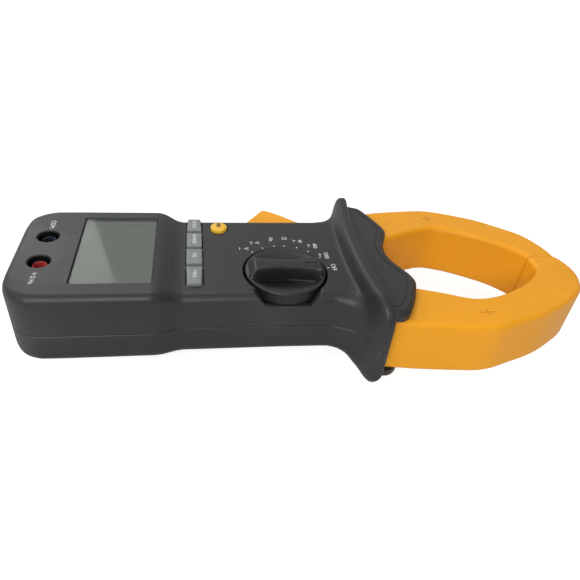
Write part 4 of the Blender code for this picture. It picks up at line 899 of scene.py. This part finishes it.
def build_mode_button():
    """Round yellow button with a slot in its top that opens towards +Y."""
    flange_r = MODE_R + 0.6
    profile = [(0, KEY_FOOT_Z), (flange_r, KEY_FOOT_Z), (flange_r, KEY_FLANGE_Z),
               (MODE_R, KEY_FLANGE_Z), (MODE_R, KEY_TOP_Z - 1.3)]
    profile += [(MODE_R - 0.8 + 0.8 * math.cos(a), KEY_TOP_Z - 1.0 + 0.8 * math.sin(a))
                for a in quarter(6, first=1)]
    profile += [(MODE_R - 2.0, KEY_TOP_Z - 0.06), (0, KEY_TOP_Z)]
    button = make("mode_button", lathe(MODE_X, MODE_Y, profile, 72), "yellow")
    cut(button, stack(round_rect((MODE_X - 1.0, MODE_X + 1.0), (MODE_Y - 1.0, MODE_Y + 6.0), 0.3, 5),
                      [(KEY_TOP_Z - 0.9, 0.05), (KEY_TOP_Z - 0.25, 0.0), (KEY_TOP_Z + 1, -0.3)]))
    # floor of the slot, coloured a darker yellow as painted shade in the slot
    floor = stack(round_rect((MODE_X - 0.93, MODE_X + 0.93),
                             (MODE_Y - 0.92, MODE_Y + MODE_R - 0.35), 0.25, 4),
                  [(KEY_TOP_Z - 0.95, 0.0), (KEY_TOP_Z - 0.84, 0.0)])
    fit(make("mode_slot", floor, "yellow_painted_shade"), "mode_key")
    fit(button, "mode_key", "mode_key", angle=38)


for number, (y_span, pulls) in enumerate(zip(KEY_Y, KEY_PULL), 1):
    fit(make(f"keycap_{number}", keycap(y_span, pulls), "key"), f"key_{number}",
        f"key_{number}", angle=38, weighted=False)
build_mode_button()

# ---------------------------------------------------------------- rotary dial
DIAL_RIBS, RIB_STEPS, RIB_DEPTH = 88, 6, 0.42
DIAL_STEPS = DIAL_RIBS * RIB_STEPS
DIAL_RING_STEP, DIAL_RINGS = 0.28, 65
SCOOP_R, SCOOP_Z, BAR_TOP_Z = 17.5, 39.9, 47.35
# side wall of the dial: (z, share of the rib depth, distance inside DIAL_R)
DIAL_SIDE = (
    (43.22, 0.0, 0.25), (43.0, 0.0, 0.08), (42.7, 0.0, 0.0), (42.4, 0.3, 0.0), (42.1, 1.0, 0.0),
    (38.0, 1.0, 0.0), (37.6, 0.3, 0.1), (DIAL_SKIRT_Z, 0.3, 0.3))


def dial_height(x, y):
    """Face of the dial: a thin rim, a raised grip bar along X and a scoop on each side of it."""
    radius = math.hypot(x, y)
    rim = 43.35 - 0.35 * smooth(18.25, DIAL_R, radius)
    bar_half = 3.1 + 2.3 * (x / 15.0) ** 2
    reach = math.sqrt(max(0.5, SCOOP_R ** 2 - x * x)) - bar_half
    out = (abs(y) - bar_half) / max(reach, 0.5)
    ends = (1 - smooth(12.6, 15.9, x)) * (1 - smooth(8.5, 16.0, -x))
    bowl = smooth(-0.12, 1.0, out) ** 0.85 if out > -0.12 else 0.0
    z = rim - (rim - SCOOP_Z) * (1 - bowl) * ends if radius < SCOOP_R else rim
    top = BAR_TOP_Z - 0.22 * smooth(0.0, bar_half, abs(y)) ** 2
    low_x_end, high_x_end = smooth(13.8, 17.9, -x), smooth(15.9, 17.9, x)
    top -= (top - rim) * max(low_x_end, high_x_end, smooth(16.6, 18.0, radius))
    flank = smooth(bar_half - 0.2, bar_half + 1.15, abs(y))
    return top + (z - top) * flank if top > z else z


def dial_solid():
    solid = bmesh.new()

    def ring(radius, z=None, ribbing=0.0):
        row = []
        for i in range(DIAL_STEPS):
            angle = 2 * math.pi * i / DIAL_STEPS
            wave = 0.5 - 0.5 * math.cos(2 * math.pi * (i % RIB_STEPS) / RIB_STEPS)
            reach = radius - ribbing * RIB_DEPTH * wave
            x, y = reach * math.cos(angle), reach * math.sin(angle)
            height = dial_height(x, y) if z is None else z
            row.append(solid.verts.new((DIAL[0] + x, DIAL[1] + y, height)))
        return row

    centre = solid.verts.new((*DIAL, dial_height(0, 0)))
    rows = [ring(DIAL_RING_STEP * i) for i in range(1, DIAL_RINGS + 1)]
    for i in range(DIAL_STEPS):
        solid.faces.new((centre, rows[0][i], rows[0][(i + 1) % DIAL_STEPS]))
    rows += [ring(DIAL_R - pull, z, ribbing) for z, ribbing, pull in DIAL_SIDE]
    rows += [ring(DIAL_SKIRT_R, z) for z in (DIAL_SKIRT_Z, DIAL_BASE_Z)]
    for first, second in zip(rows, rows[1:]):
        bridge(solid, first, second, flip=True)
    solid.faces.new(rows[-1])
    return solid


def build_dial():
    fit(make("dial_cap", dial_solid(), "dial"), "dial", "dial_knob",
        angle=40, weighted=False)
    # dark ring under the dial: painted shade for the gap round the dial, so that nothing inside shows
    # through it
    gap_shade = make("dial_gap_painted_shade", tube(*DIAL, [(16.7, 36.6), (19.6, 36.6), (19.6, 36.95),
                                              (16.7, 36.95)]), "painted_shade_black")
    cut(gap_shade, box(grown((DIAL[0], DIAL[0]), 25.0), (-40.0, -30.75), (30.0, 40.0)))
    fit(gap_shade, "meter_body")
    # pointer line: a flat near-black strip on the grip bar, painted shade that stands for the engraved
    # groove
    mark = stack(round_rect((DIAL[0] + 8.6, DIAL[0] + 14.6), (DIAL[1] - 0.42, DIAL[1] + 0.42), 0.35, 5),
                 [(47.0, 0.0), (47.34, 0.0), (47.36, 0.05)])
    fit(make("dial_mark", mark, "painted_shade_black"), "dial")


build_dial()

# ---------------------------------------------------------------- test-lead sockets
# closed (radius, z) profiles
SLEEVE = ((2.6, 25.8), (4.7, 25.8), (4.7, 30.0), (3.1, 30.0), (3.1, 44.05), (3.06, 44.28),
          (2.96, 44.43), (2.82, 44.5), (2.70, 44.47), (2.6, 44.3))
CONTACT = ((2.02, 21.5), (2.5, 21.5), (2.5, 36.85), (2.42, 37.0), (2.2, 37.0), (2.02, 36.8))
# WELL: near-black lining of each socket hole, darker than the case, as painted shade down the recess
WELL = ((3.25, 33.2), (4.86, 33.2), (4.86, 45.9), (4.75, 45.95), (4.6, 45.9), (4.55, 34.6),
        (3.25, 34.4))

for tag, y, material, slot in (("com", JACK_Y, "socket_blue", "black"),
                               ("volt", -JACK_Y, "red", "red")):
    fit(make(f"{tag}_sleeve", tube(JACK_X, y, SLEEVE), material), "meter_body",
        f"{tag}_insulator")
    fit(make(f"{tag}_contact", tube(JACK_X, y, CONTACT), "brass"), "meter_body",
        f"{tag}_socket")
    fit(make(f"{tag}_well", tube(JACK_X, y, WELL), "painted_shade_black"), "meter_body")


# ---------------------------------------------------------------- battery door and screws
def build_door():
    door = make("battery_hatch", stack(
        round_rect(grown(DOOR_X, -0.2), (-DOOR_HALF + 0.2, DOOR_HALF - 0.2), 1.3, 6),
        [(BACK_Z, 0.45), (BACK_Z + 0.12, 0.15), (BACK_Z + 0.4, 0.0), (12.0, 0.0)]), "case")
    cut(door, prism(circle(*DOOR_SCREW, 1.35, 20), 5.0, 16.0),
        stack(circle(*DOOR_SCREW, 2.3, 36), [(9.5, -1.2), (10.7, 0.0), (11.3, 0.0)]))
    for k in range(5):
        y = -6.0 + 3.0 * k
        cut(door, stack(round_rect((25.0, 34.0), (y - 0.55, y + 0.55), 0.55, 4),
                        [(9.5, -1.1), (10.6, 0.0), (11.1, 0.2)]))
    fit(door, "battery_door", "battery_door")


def screw(x, y, head_z, tip_z, head_r=2.7, shank_r=1.3, head_height=1.7):
    """Screw with its head at low Z and its threaded shank pointing up."""
    root_r, shank_z = shank_r - 0.22, head_z + head_height
    profile = [(0, head_z), (head_r - 0.75, head_z), (head_r - 0.3, head_z + 0.12),
               (head_r - 0.06, head_z + 0.4), (head_r, head_z + 0.7), (head_r, shank_z),
               (shank_r, shank_z)]
    z = shank_z + 0.8
    while z < tip_z - 2.2:
        profile += [(root_r, z), (shank_r, z + 0.35), (root_r, z + 0.7)]
        z += 0.9
    profile += [(root_r, tip_z - 1.2), (0, tip_z)]
    return lathe(x, y, profile, 32)


def cross_slot(obj, x, y, z, reach=1.35, half=0.24):
    for angle in (0.4, 0.4 + math.pi / 2):
        cosine, sine = math.cos(angle), math.sin(angle)
        outline = [(x + cosine * p - sine * q, y + sine * p + cosine * q)
                   for p, q in rectangle((-reach, reach), (-half, half))]
        cut(obj, stack(outline, [(z - 1.0, -0.02), (z + 0.5, 0.0), (z + 1.0, 0.16)]))


def build_screws(tag, places, head_z, tips):
    for number, ((x, y), tip_z) in enumerate(zip(places, tips), 1):
        obj = make(f"{tag}_fastener_{number}", screw(x, y, head_z, tip_z), "steel")
        cross_slot(obj, x, y, head_z)
        fit(obj, "meter_body", f"{tag}_screw_{number}")


def build_door_screw():
    x, y = DOOR_SCREW
    obj = make("hatch_fastener", screw(x, y, DOOR_HEAD_Z, 14.2, head_r=2.1, shank_r=1.15,
                                       head_height=0.65), "steel")
    cut(obj, box((x - 2.5, x + 2.5), (y - 0.28, y + 0.28), (9.0, 10.95)))
    fit(obj, "battery_door", "battery_door_screw")


build_door()
build_screws("case", CASE_SCREWS, CASE_HEAD_Z, tips=(34.0, 34.0, 34.0, 34.0, 33.0))
build_screws("jaw", JAW_SCREWS, JAW_HEAD_Z, tips=(14.0, 14.0))
build_door_screw()


# ---------------------------------------------------------------- jaws
# roots that the arms grow from: (x, y)
FIXED_ROOT = [
    (175.0, -22.5), (179.6, -21.9), (179.0, -19.5), (176.8, -15.0), (174.6, -9.0),
    (174.2, FIXED_END_Y), (152.0, FIXED_END_Y), (150.6, 0.0), (150.9, -34.0), (152.8, -35.6),
    (155.0, -37.6), (157.0, -39.9), (158.6, -42.2), (160.6, -45.2), (163.5, -45.8), (175.0, -45.4)]
# edge of the moving root round the pivot: (radius, angle in degrees)
PIVOT_EDGE = ((17.2, 62), (16.0, 66), (12.4, 74), (10.8, 80), (9.8, 87), (9.0, 96), (8.5, 108),
              (8.4, 125), (8.5, 143), (9.4, 155))
MOVING_ROOT = [(175.0, 22.5), (175.0, 45.3), (171.9, 46.4)]
MOVING_ROOT += [(PIVOT[0] + radius * math.cos(math.radians(angle)),
                 PIVOT[1] + radius * math.sin(math.radians(angle)))
                for radius, angle in spline(PIVOT_EDGE, 2)]
MOVING_ROOT += [
    (149.0, 31.8), (146.0, 29.4), (146.0, 23.5), (151.0, 20.5), (156.5, 14.0),
    (158.5, MOVING_END_Y), (174.2, MOVING_END_Y), (174.6, 9.0), (176.8, 15.0), (179.0, 19.5),
    (179.6, 21.9)]
MOVING_ROOT.reverse()
ROOT_Z = (JAW_Z0 + 0.8, JAW_Z1 - 0.8)
TIP_ROUND = 0.3          # round on the faces where the jaws meet
JAW_POCKET_TOP_Z = 35.6
ROOT_STEP_Z = REAR_FLOOR_Z + 0.4


def jaw_ring(inner, outer, side, radius, trim=0.0):
    """Rounded upright section of a jaw between a point on its inner and one on its outer edge."""
    start, end = Vector((inner[0], inner[1] * side)), Vector((outer[0], outer[1] * side))
    length = (end - start).length
    out = (end - start) / length
    start, length = start + out * trim, length - 2 * trim
    far, low, high = length - radius, JAW_Z0 + trim + radius, JAW_Z1 - trim - radius
    points = arc(far, low, radius, -90, 0, 7) + arc(far, high, radius, 0, 90, 7)
    points += arc(radius, high, radius, 90, 180, 7) + arc(radius, low, radius, 180, 270, 7)
    return [(start.x + out.x * p, start.y + out.y * p, z) for p, z in points]


def jaw_edges(side):
    """Splined inner and outer edge of an arm; the fixed tip reaches across the centre line."""
    inner, outer, tip = JAW_IN[side], JAW_OUT[side], JAW_TIP[side]
    if side > 0:
        return (spline([(inner[0][0], tip), *inner[1:]], 6),
                spline([(outer[0][0], tip), *outer[1:]], 6))
    inner = spline([(inner[0][0] + 0.2, tip), (254.25, 0.0), *inner[1:-1]], 6)
    outer = spline([(outer[0][0] + 0.15, tip), (272.6, 0.0), *outer[1:-1]], 6)
    return inner + [(172.0, 18.0), (163.0, 16.6)], outer + [(169.6, 47.2), (163.2, 46.2)]


def arm(side):
    inner, outer = jaw_edges(side)
    rings = [jaw_ring(a, b, side, JAW_R) for a, b in zip(inner, outer)]
    lead = jaw_ring(inner[0], outer[0], side, JAW_R - TIP_ROUND, trim=TIP_ROUND)
    rings[0] = [(x, y + TIP_ROUND * side, z) for x, y, z in rings[0]]
    return loft([lead] + rings)


def jaw_pocket(side, gap):
    """Outline of the recess in a jaw's underside, `gap` in from its edges."""
    inner, outer = [], []
    stations = list(zip(JAW_IN[side][1:-1], JAW_OUT[side][1:-1])) + [((174.5, 19.0), (174.5, 48.0))]
    for a, b in stations:
        start, end = Vector(a), Vector(b)
        out = (end - start).normalized()
        inner.append(tuple(start + out * gap))
        outer.append(tuple(end - out * gap))
    return [(x, y * side) for x, y in outer + inner[::-1]]


def core_channel(side):
    """Channel for the core, along the middle of the jaw and back round its root."""
    tip = JAW_TIP[side]
    line = [(262.6, tip)] + ([] if side > 0 else [(262.7, 0.0)])
    line += [((a[0] + b[0]) / 2, (a[1] + b[1]) / 2)
             for a, b in zip(JAW_IN[side][1:-1], JAW_OUT[side][1:-1])]
    line += [(175.0, 31.5), (169.5, 25.5), (166.6, 17.5), (166.0, 10.0), (166.0, tip)]
    points = [Vector((x, y * side)) for x, y in line]
    last = len(points) - 1
    half, low, high = CORE_HALF + CORE_PLAY, CORE_Z0 - CORE_PLAY, CORE_Z1 + CORE_PLAY
    rings = []
    for k, point in enumerate(points):
        come = (point - points[k - 1] if k else points[1] - points[0]).normalized()
        leave = (points[k + 1] - point if k < last else point - points[k - 1]).normalized()
        normal = Vector((-come.y, come.x))
        across = normal + Vector((-leave.y, leave.x))
        if k in (0, last):
            # both ends are cut square to the jaw split
            across, miter = Vector((-1.0 if across.x < 0 else 1.0, 0.0)), 1.0
        else:
            across = across.normalized()
            miter = 1.0 / max(0.5, across.dot(normal))
        left, right = point - across * half * miter, point + across * half * miter
        rings.append([(right.x, right.y, low), (left.x, left.y, low),
                      (left.x, left.y, high), (right.x, right.y, high)])
    overrun = 2.0
    before = math.copysign(overrun, points[0].y - points[1].y)
    after = math.copysign(overrun, points[-1].y - points[-2].y)
    rings.insert(0, [(x, y + before, z) for x, y, z in rings[0]])
    rings.append([(x, y + after, z) for x, y, z in rings[-1]])
    return loft(rings)


def hollow_jaw(name, side, root):
    jaw = make(name, arm(side), "amber")
    join(jaw, prism(root, *ROOT_Z))
    cut(jaw, prism(jaw_pocket(side, 2.3), 5.0, JAW_POCKET_TOP_Z), core_channel(side))
    return jaw


def build_fixed_jaw():
    jaw = hollow_jaw("fixed_jaw_visual", -1, FIXED_ROOT)
    for x, y in JAW_SCREWS:
        cut(jaw, prism(circle(x, y, 1.4, 16), 5.0, 14.6))
    cut(jaw, box((140.0, SLOT_STEP_X + 0.9), (-50.0, 10.0), (5.0, ROOT_STEP_Z)))
    fit(jaw, "meter_body", "fixed_jaw_shell", angle=30)


def build_moving_jaw():
    jaw = hollow_jaw("moving_jaw_visual", 1, MOVING_ROOT)
    # pivot hole and its counterbore, the step for the lever, the step over the case, screw hole
    cut(jaw, prism(circle(*PIVOT, PIVOT_HOLE_R, 40), 0.0, 60.0),
        prism(circle(*PIVOT, 6.4, 40), 31.0, 60.0),
        box((140.0, 152.2), (16.0, 36.0), (5.0, 22.4)),
        prism([(140.0, -5.0), (158.0, -5.0), (158.0, 33.4), (165.8, 50.8), (140.0, 50.8)],
              5.0, ROOT_STEP_Z),
        prism(circle(*LEVER_SCREW, 1.3, 16), 20.0, 30.0))
    fit(jaw, "moving_jaw", "moving_jaw_shell", angle=30)


def build_jaw_cover(tag, side, body):
    outline = jaw_pocket(side, 2.5)
    if side < 0:
        outline.reverse()   # inset() needs counter-clockwise order
    cover = stack(outline, [(JAW_Z0 + 0.1, 0.3), (JAW_Z0 + 0.35, 0.05), (JAW_Z0 + 0.6, 0.0),
                            (JAW_Z0 + 2.0, 0.0)])
    fit(make(f"{tag}_jaw_back", cover, "amber"), body, f"{tag}_jaw_cover")


build_fixed_jaw()
build_moving_jaw()
build_jaw_cover("fixed", -1, "meter_body")
build_jaw_cover("moving", 1, "moving_jaw")

# ---------------------------------------------------------------- trigger lever
# outline (x, y): the splined finger side, then the straight side inside the case
LEVER_FACE = (
    (101.6, 33.0), (108.0, 41.6), (113.4, 49.0), (115.4, 51.8), (117.2, 52.9), (119.6, 52.2),
    (126.5, 47.6), (132.5, 42.4), (143.2, 33.6), (145.0, 30.6))
LEVER_INSIDE = [(151.8, 29.6), (151.8, 23.0), (146.0, 23.0), (140.0, 24.0), (125.0, 27.6),
                (111.0, 30.6), (103.2, 30.6)]
LEVER_EDGE_R = 1.1
LEVER_SCREW_PROFILE = ((0, LEVER_HEAD_Z), (1.5, LEVER_HEAD_Z), (2.0, 15.1), (2.2, 15.5),
                       (2.2, 16.3), (1.15, 16.3), (1.15, 28.0), (0, 29.0))


def build_lever():
    radius = LEVER_EDGE_R
    levels = [(LEVER_Z0 + radius - radius * math.cos(a), radius - radius * math.sin(a))
              for a in quarter(5)]
    levels += [(LEVER_Z1 - radius + radius * math.sin(a), radius - radius * math.cos(a))
               for a in quarter(5)]
    outline = spline(LEVER_FACE, 4) + LEVER_INSIDE
    lever = make("lever", stack(outline[::-1], levels), "amber")
    cut(lever, box((145.2, 160.0), (15.0, 40.0), (22.2, 60.0)),
        prism(circle(*LEVER_SCREW, 1.3, 20), 5.0, 30.0),
        prism(circle(*LEVER_SCREW, 2.4, 28), 5.0, 16.4))
    fit(lever, "moving_jaw", "trigger_lever", angle=30)
    obj = make("lever_fastener", lathe(*LEVER_SCREW, LEVER_SCREW_PROFILE, 28), "steel")
    cross_slot(obj, *LEVER_SCREW, LEVER_HEAD_Z, reach=1.1)
    fit(obj, "moving_jaw", "lever_screw")


build_lever()

# ---------------------------------------------------------------- printed legends
INK = 0.03   # half thickness of the print
# (word, angle about the dial in degrees, radius, letter height, sign below it)
DIAL_WORDS = (
    ("OFF", 6, 23.6, 3.1, None), ("1000", 30, 25.2, 2.9, "A~"), ("400", 50, 27.4, 2.9, "A~"),
    ("40", 67, 27.4, 2.9, "A~"), ("Ω", 84, 28.0, 3.3, None), ("Hz", 98, 27.4, 3.0, None),
    ("V", 115, 26.4, 3.3, "dc"), ("V", 132, 25.2, 3.3, "~"))
SIGNS = {"A~": (3.0, 2.3), "~": (2.9, 4.0)}   # (distance below the word, letter height)
DC_SIGN = (((-2.6, -2.35), (-1.2, 1.2)),)     # the long bar; three dashes lie below it
TICK_R, TICK_HALF = (20.4, 21.6), 0.2


def lettering(words, x, y, z, size, bold=0.0):
    """Thin lettering that reads from +Y to -Y with its top towards +X, in metres."""
    curve = bpy.data.curves.new("legend", "FONT")
    curve.body = words
    curve.size = size * MM
    curve.extrude = INK * MM
    curve.offset = bold * MM
    curve.resolution_u = 4
    curve.align_x, curve.align_y = "CENTER", "CENTER"
    obj = new_object("legend", curve)
    bpy.context.view_layer.update()
    graph = bpy.context.evaluated_depsgraph_get()
    mesh = bpy.data.meshes.new_from_object(obj.evaluated_get(graph))
    mesh.transform(Matrix.Translation((Vector((x, y, z)) - ORIGIN) * MM)
                   @ Matrix(((0, 1, 0, 0), (-1, 0, 0, 0), (0, 0, 1, 0), (0, 0, 0, 1))))
    bpy.data.objects.remove(obj, do_unlink=True)
    solid = bmesh.new()
    solid.from_mesh(mesh)
    bpy.data.meshes.remove(mesh)
    bmesh.ops.remove_doubles(solid, verts=solid.verts, dist=1e-7)
    return solid


def ink_patch(outline):
    return to_metres(prism(outline, LOW_FACE_Z - INK, LOW_FACE_Z + INK))


def dial_legend(word, degrees, radius, size, sign):
    """A word beside the dial, the sign below it and a tick towards it."""
    cosine, sine = math.cos(math.radians(degrees)), math.sin(math.radians(degrees))
    x, y = DIAL[0] + radius * cosine, DIAL[1] + radius * sine
    parts = [lettering(word, x, y, LOW_FACE_Z, size, bold=0.02)]
    if sign == "dc":
        parts.append(ink_patch(rectangle((x - 2.6, x - 2.35), (y - 1.2, y + 1.2))))
        for dash in (-1.2, -0.3, 0.6):
            parts.append(ink_patch(rectangle((x - 3.3, x - 3.05), (y + dash, y + dash + 0.6))))
    elif sign:
        drop, sign_size = SIGNS[sign]
        parts.append(lettering(sign, x - drop, y, LOW_FACE_Z, sign_size))
    tick = rectangle(TICK_R, (-TICK_HALF, TICK_HALF))
    parts.append(ink_patch([(DIAL[0] + cosine * p - sine * q, DIAL[1] + sine * p + cosine * q)
                            for p, q in tick]))
    return parts


def build_legend(group, body, parts):
    """Merge the printed parts of one body into one object."""
    merged = bmesh.new()
    for part in parts:
        mesh = bpy.data.meshes.new("part")
        part.to_mesh(mesh)
        part.free()
        merged.from_mesh(mesh)
        bpy.data.meshes.remove(mesh)
    mesh = bpy.data.meshes.new(f"legend_{group}")
    bmesh.ops.recalc_face_normals(merged, faces=merged.faces)
    merged.to_mesh(mesh)
    merged.free()
    obj = new_object(f"legend_{group}", mesh)
    mesh.materials.append(MATERIALS["ink_white"])
    fit(obj, body, angle=30, weighted=False)


case_print = [part for entry in DIAL_WORDS for part in dial_legend(*entry)]
case_print.append(lettering("COM", JACK_X, 20.5, HIGH_FACE_Z, 3.0, bold=0.03))
case_print.append(lettering("V Ω Hz", JACK_X, -22.6, HIGH_FACE_Z, 2.6, bold=0.02))
build_legend("body", "meter_body", case_print)
for word, number in (("HOLD", 4), ("RANGE", 3), ("REL", 2), ("MAX", 1)):
    key_print = lettering(word, sum(KEY_X) / 2, sum(KEY_Y[number - 1]) / 2, KEY_TOP_Z, 2.5, bold=0.02)
    build_legend(f"key_{number}", f"key_{number}", [key_print])

# raised cross on each jaw that shows where a conductor should lie; its darker amber is painted shade
# standing for the shading round the moulded cross
MARK_LEVELS = [(JAW_Z1 - 0.1, 0.0), (JAW_Z1 + 0.08, 0.0), (JAW_Z1 + 0.12, 0.06)]
for tag, body, y in (("fixed", "meter_body", -41.25), ("moving", "moving_jaw", 42.0)):
    obj = make(f"{tag}_jaw_mark", stack(round_rect((210.6, 211.2), (y - 2.6, y + 2.6), 0.28, 4),
                                        MARK_LEVELS), "amber_painted_shade")
    join(obj, stack(round_rect((207.2, 214.6), (y - 0.28, y + 0.28), 0.26, 4), MARK_LEVELS))
    fit(obj, body)

# ---------------------------------------------------------------- CAD nodes that keep their shape
CAD_MATERIALS = {
    "lcd_frame": "white", "zebra_strip": "rubber", "circuit_board": "board", "main_chip": "black",
    "buzzer": "black", "keypad_mat": "rubber", "dial_rotor": "white", "contact_wiper": "brass",
    "battery_9v": "battery", "battery_snap": "black", "battery_lead_red": "red",
    "battery_lead_black": "black", "fixed_core": "core", "moving_core": "core",
    "fixed_coil": "copper", "moving_coil": "copper", "pivot_pin": "steel", "return_spring": "steel"}
for name, material in CAD_MATERIALS.items():
    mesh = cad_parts[name].data
    mesh.materials.clear()
    mesh.materials.append(MATERIALS[material])
    mesh.polygons.foreach_set("material_index", [0] * len(mesh.polygons))
    shade_smooth(mesh, 32)


# ---------------------------------------------------------------- floor, light, camera (metres)
def floor_material():
    """Pale floor that looks brighter to the camera than the light it gives off."""
    s = Shader("floor")
    clouds = s.noise(scale=3.0)
    seen = s.node("ShaderNodeLightPath").outputs["Is Camera Ray"]
    return s.surface(base=s.mix(clouds, (0.36, 0.36, 0.36, 1.0), (0.39, 0.39, 0.39, 1.0)),
                     rough=s.remap(clouds, over=(0.3, 0.7), to=(0.8, 0.9)), spec=0.1,
                     glow=(1.0, 1.0, 1.0, 1.0), glow_strength=s.remap(seen, to=(0.38, 0.80)))


def build_floor():
    """Large plane, tilted to the slope at which the meter rests on its collar."""
    floor = new_object("floor", bpy.data.meshes.new("floor"))
    grid = bmesh.new()
    bmesh.ops.create_grid(grid, x_segments=1, y_segments=1, size=6.0)
    grid.to_mesh(floor.data)
    grid.free()
    floor.location = (0.0236, 0.0, -0.0079)
    floor.rotation_euler = (0.0, math.atan2(0.0078, 0.1556), 0.0)
    floor.data.materials.append(floor_material())


def build_world():
    """White sky, brightest towards one high direction."""
    world = bpy.data.worlds.new("studio")
    bpy.context.scene.world = world
    world.use_nodes = True
    nodes, links = world.node_tree.nodes, world.node_tree.links
    background = nodes["Background"]
    background.inputs["Color"].default_value = (1.0, 1.0, 1.0, 1.0)
    coord = nodes.new("ShaderNodeTexCoord")
    facing = nodes.new("ShaderNodeVectorMath")
    facing.operation = "DOT_PRODUCT"
    facing.inputs[1].default_value = (-0.42, 0.28, 0.863)
    sky = nodes.new("ShaderNodeMapRange")
    for key, value in {"From Min": -0.1, "From Max": 1.0, "To Min": 0.36, "To Max": 0.90}.items():
        sky.inputs[key].default_value = value
    links.new(coord.outputs["Generated"], facing.inputs[0])
    links.new(facing.outputs["Value"], sky.inputs["Value"])
    links.new(sky.outputs["Result"], background.inputs["Strength"])


def lamp(name, place, target, size, power):
    data = bpy.data.lights.new(name, "AREA")
    data.shape = "RECTANGLE"
    data.size, data.size_y = size
    data.energy = power
    obj = new_object(name, data)
    obj.location = place
    obj.rotation_euler = (Vector(target) - Vector(place)).to_track_quat("-Z", "Y").to_euler()


def build_camera():
    yaw, pitch, roll = 0.2029, 0.6489, 0.1081   # radians; yaw from +Y towards +X, pitch down
    place = (-0.05406, -0.21447, 0.17709)
    forward = Vector((math.sin(yaw) * math.cos(pitch), math.cos(yaw) * math.cos(pitch),
                      -math.sin(pitch)))
    level = Vector((math.cos(yaw), -math.sin(yaw), 0.0))
    upright = level.cross(forward)
    right = level * math.cos(roll) + upright * math.sin(roll)
    up = -level * math.sin(roll) + upright * math.cos(roll)
    data = bpy.data.cameras.new("camera")
    data.sensor_width = 36.0
    data.lens = 33.5445517
    data.shift_x, data.shift_y = 0.005310345, -0.002275862
    data.clip_start = 0.01
    camera = new_object("camera", data)
    rows = [(right[i], up[i], -forward[i], place[i]) for i in range(3)]
    camera.matrix_world = Matrix((*rows, (0, 0, 0, 1)))
    bpy.context.scene.camera = camera


build_floor()
build_world()
lamp("key_light", (-0.35, -0.75, 0.55), target=(0.02, 0.0, 0.02), size=(0.6, 0.4), power=6.2)
lamp("sheen_light", (-0.42, 0.62, 0.46), target=(-0.06, 0.0, 0.03), size=(0.40, 0.22), power=1.0)
lamp("top_light", (-0.25, 0.45, 0.95), target=(0.0, 0.0, 0.02), size=(0.5, 0.3), power=2.0)
build_camera()
bpy.context.scene.view_settings.view_transform = "Standard"
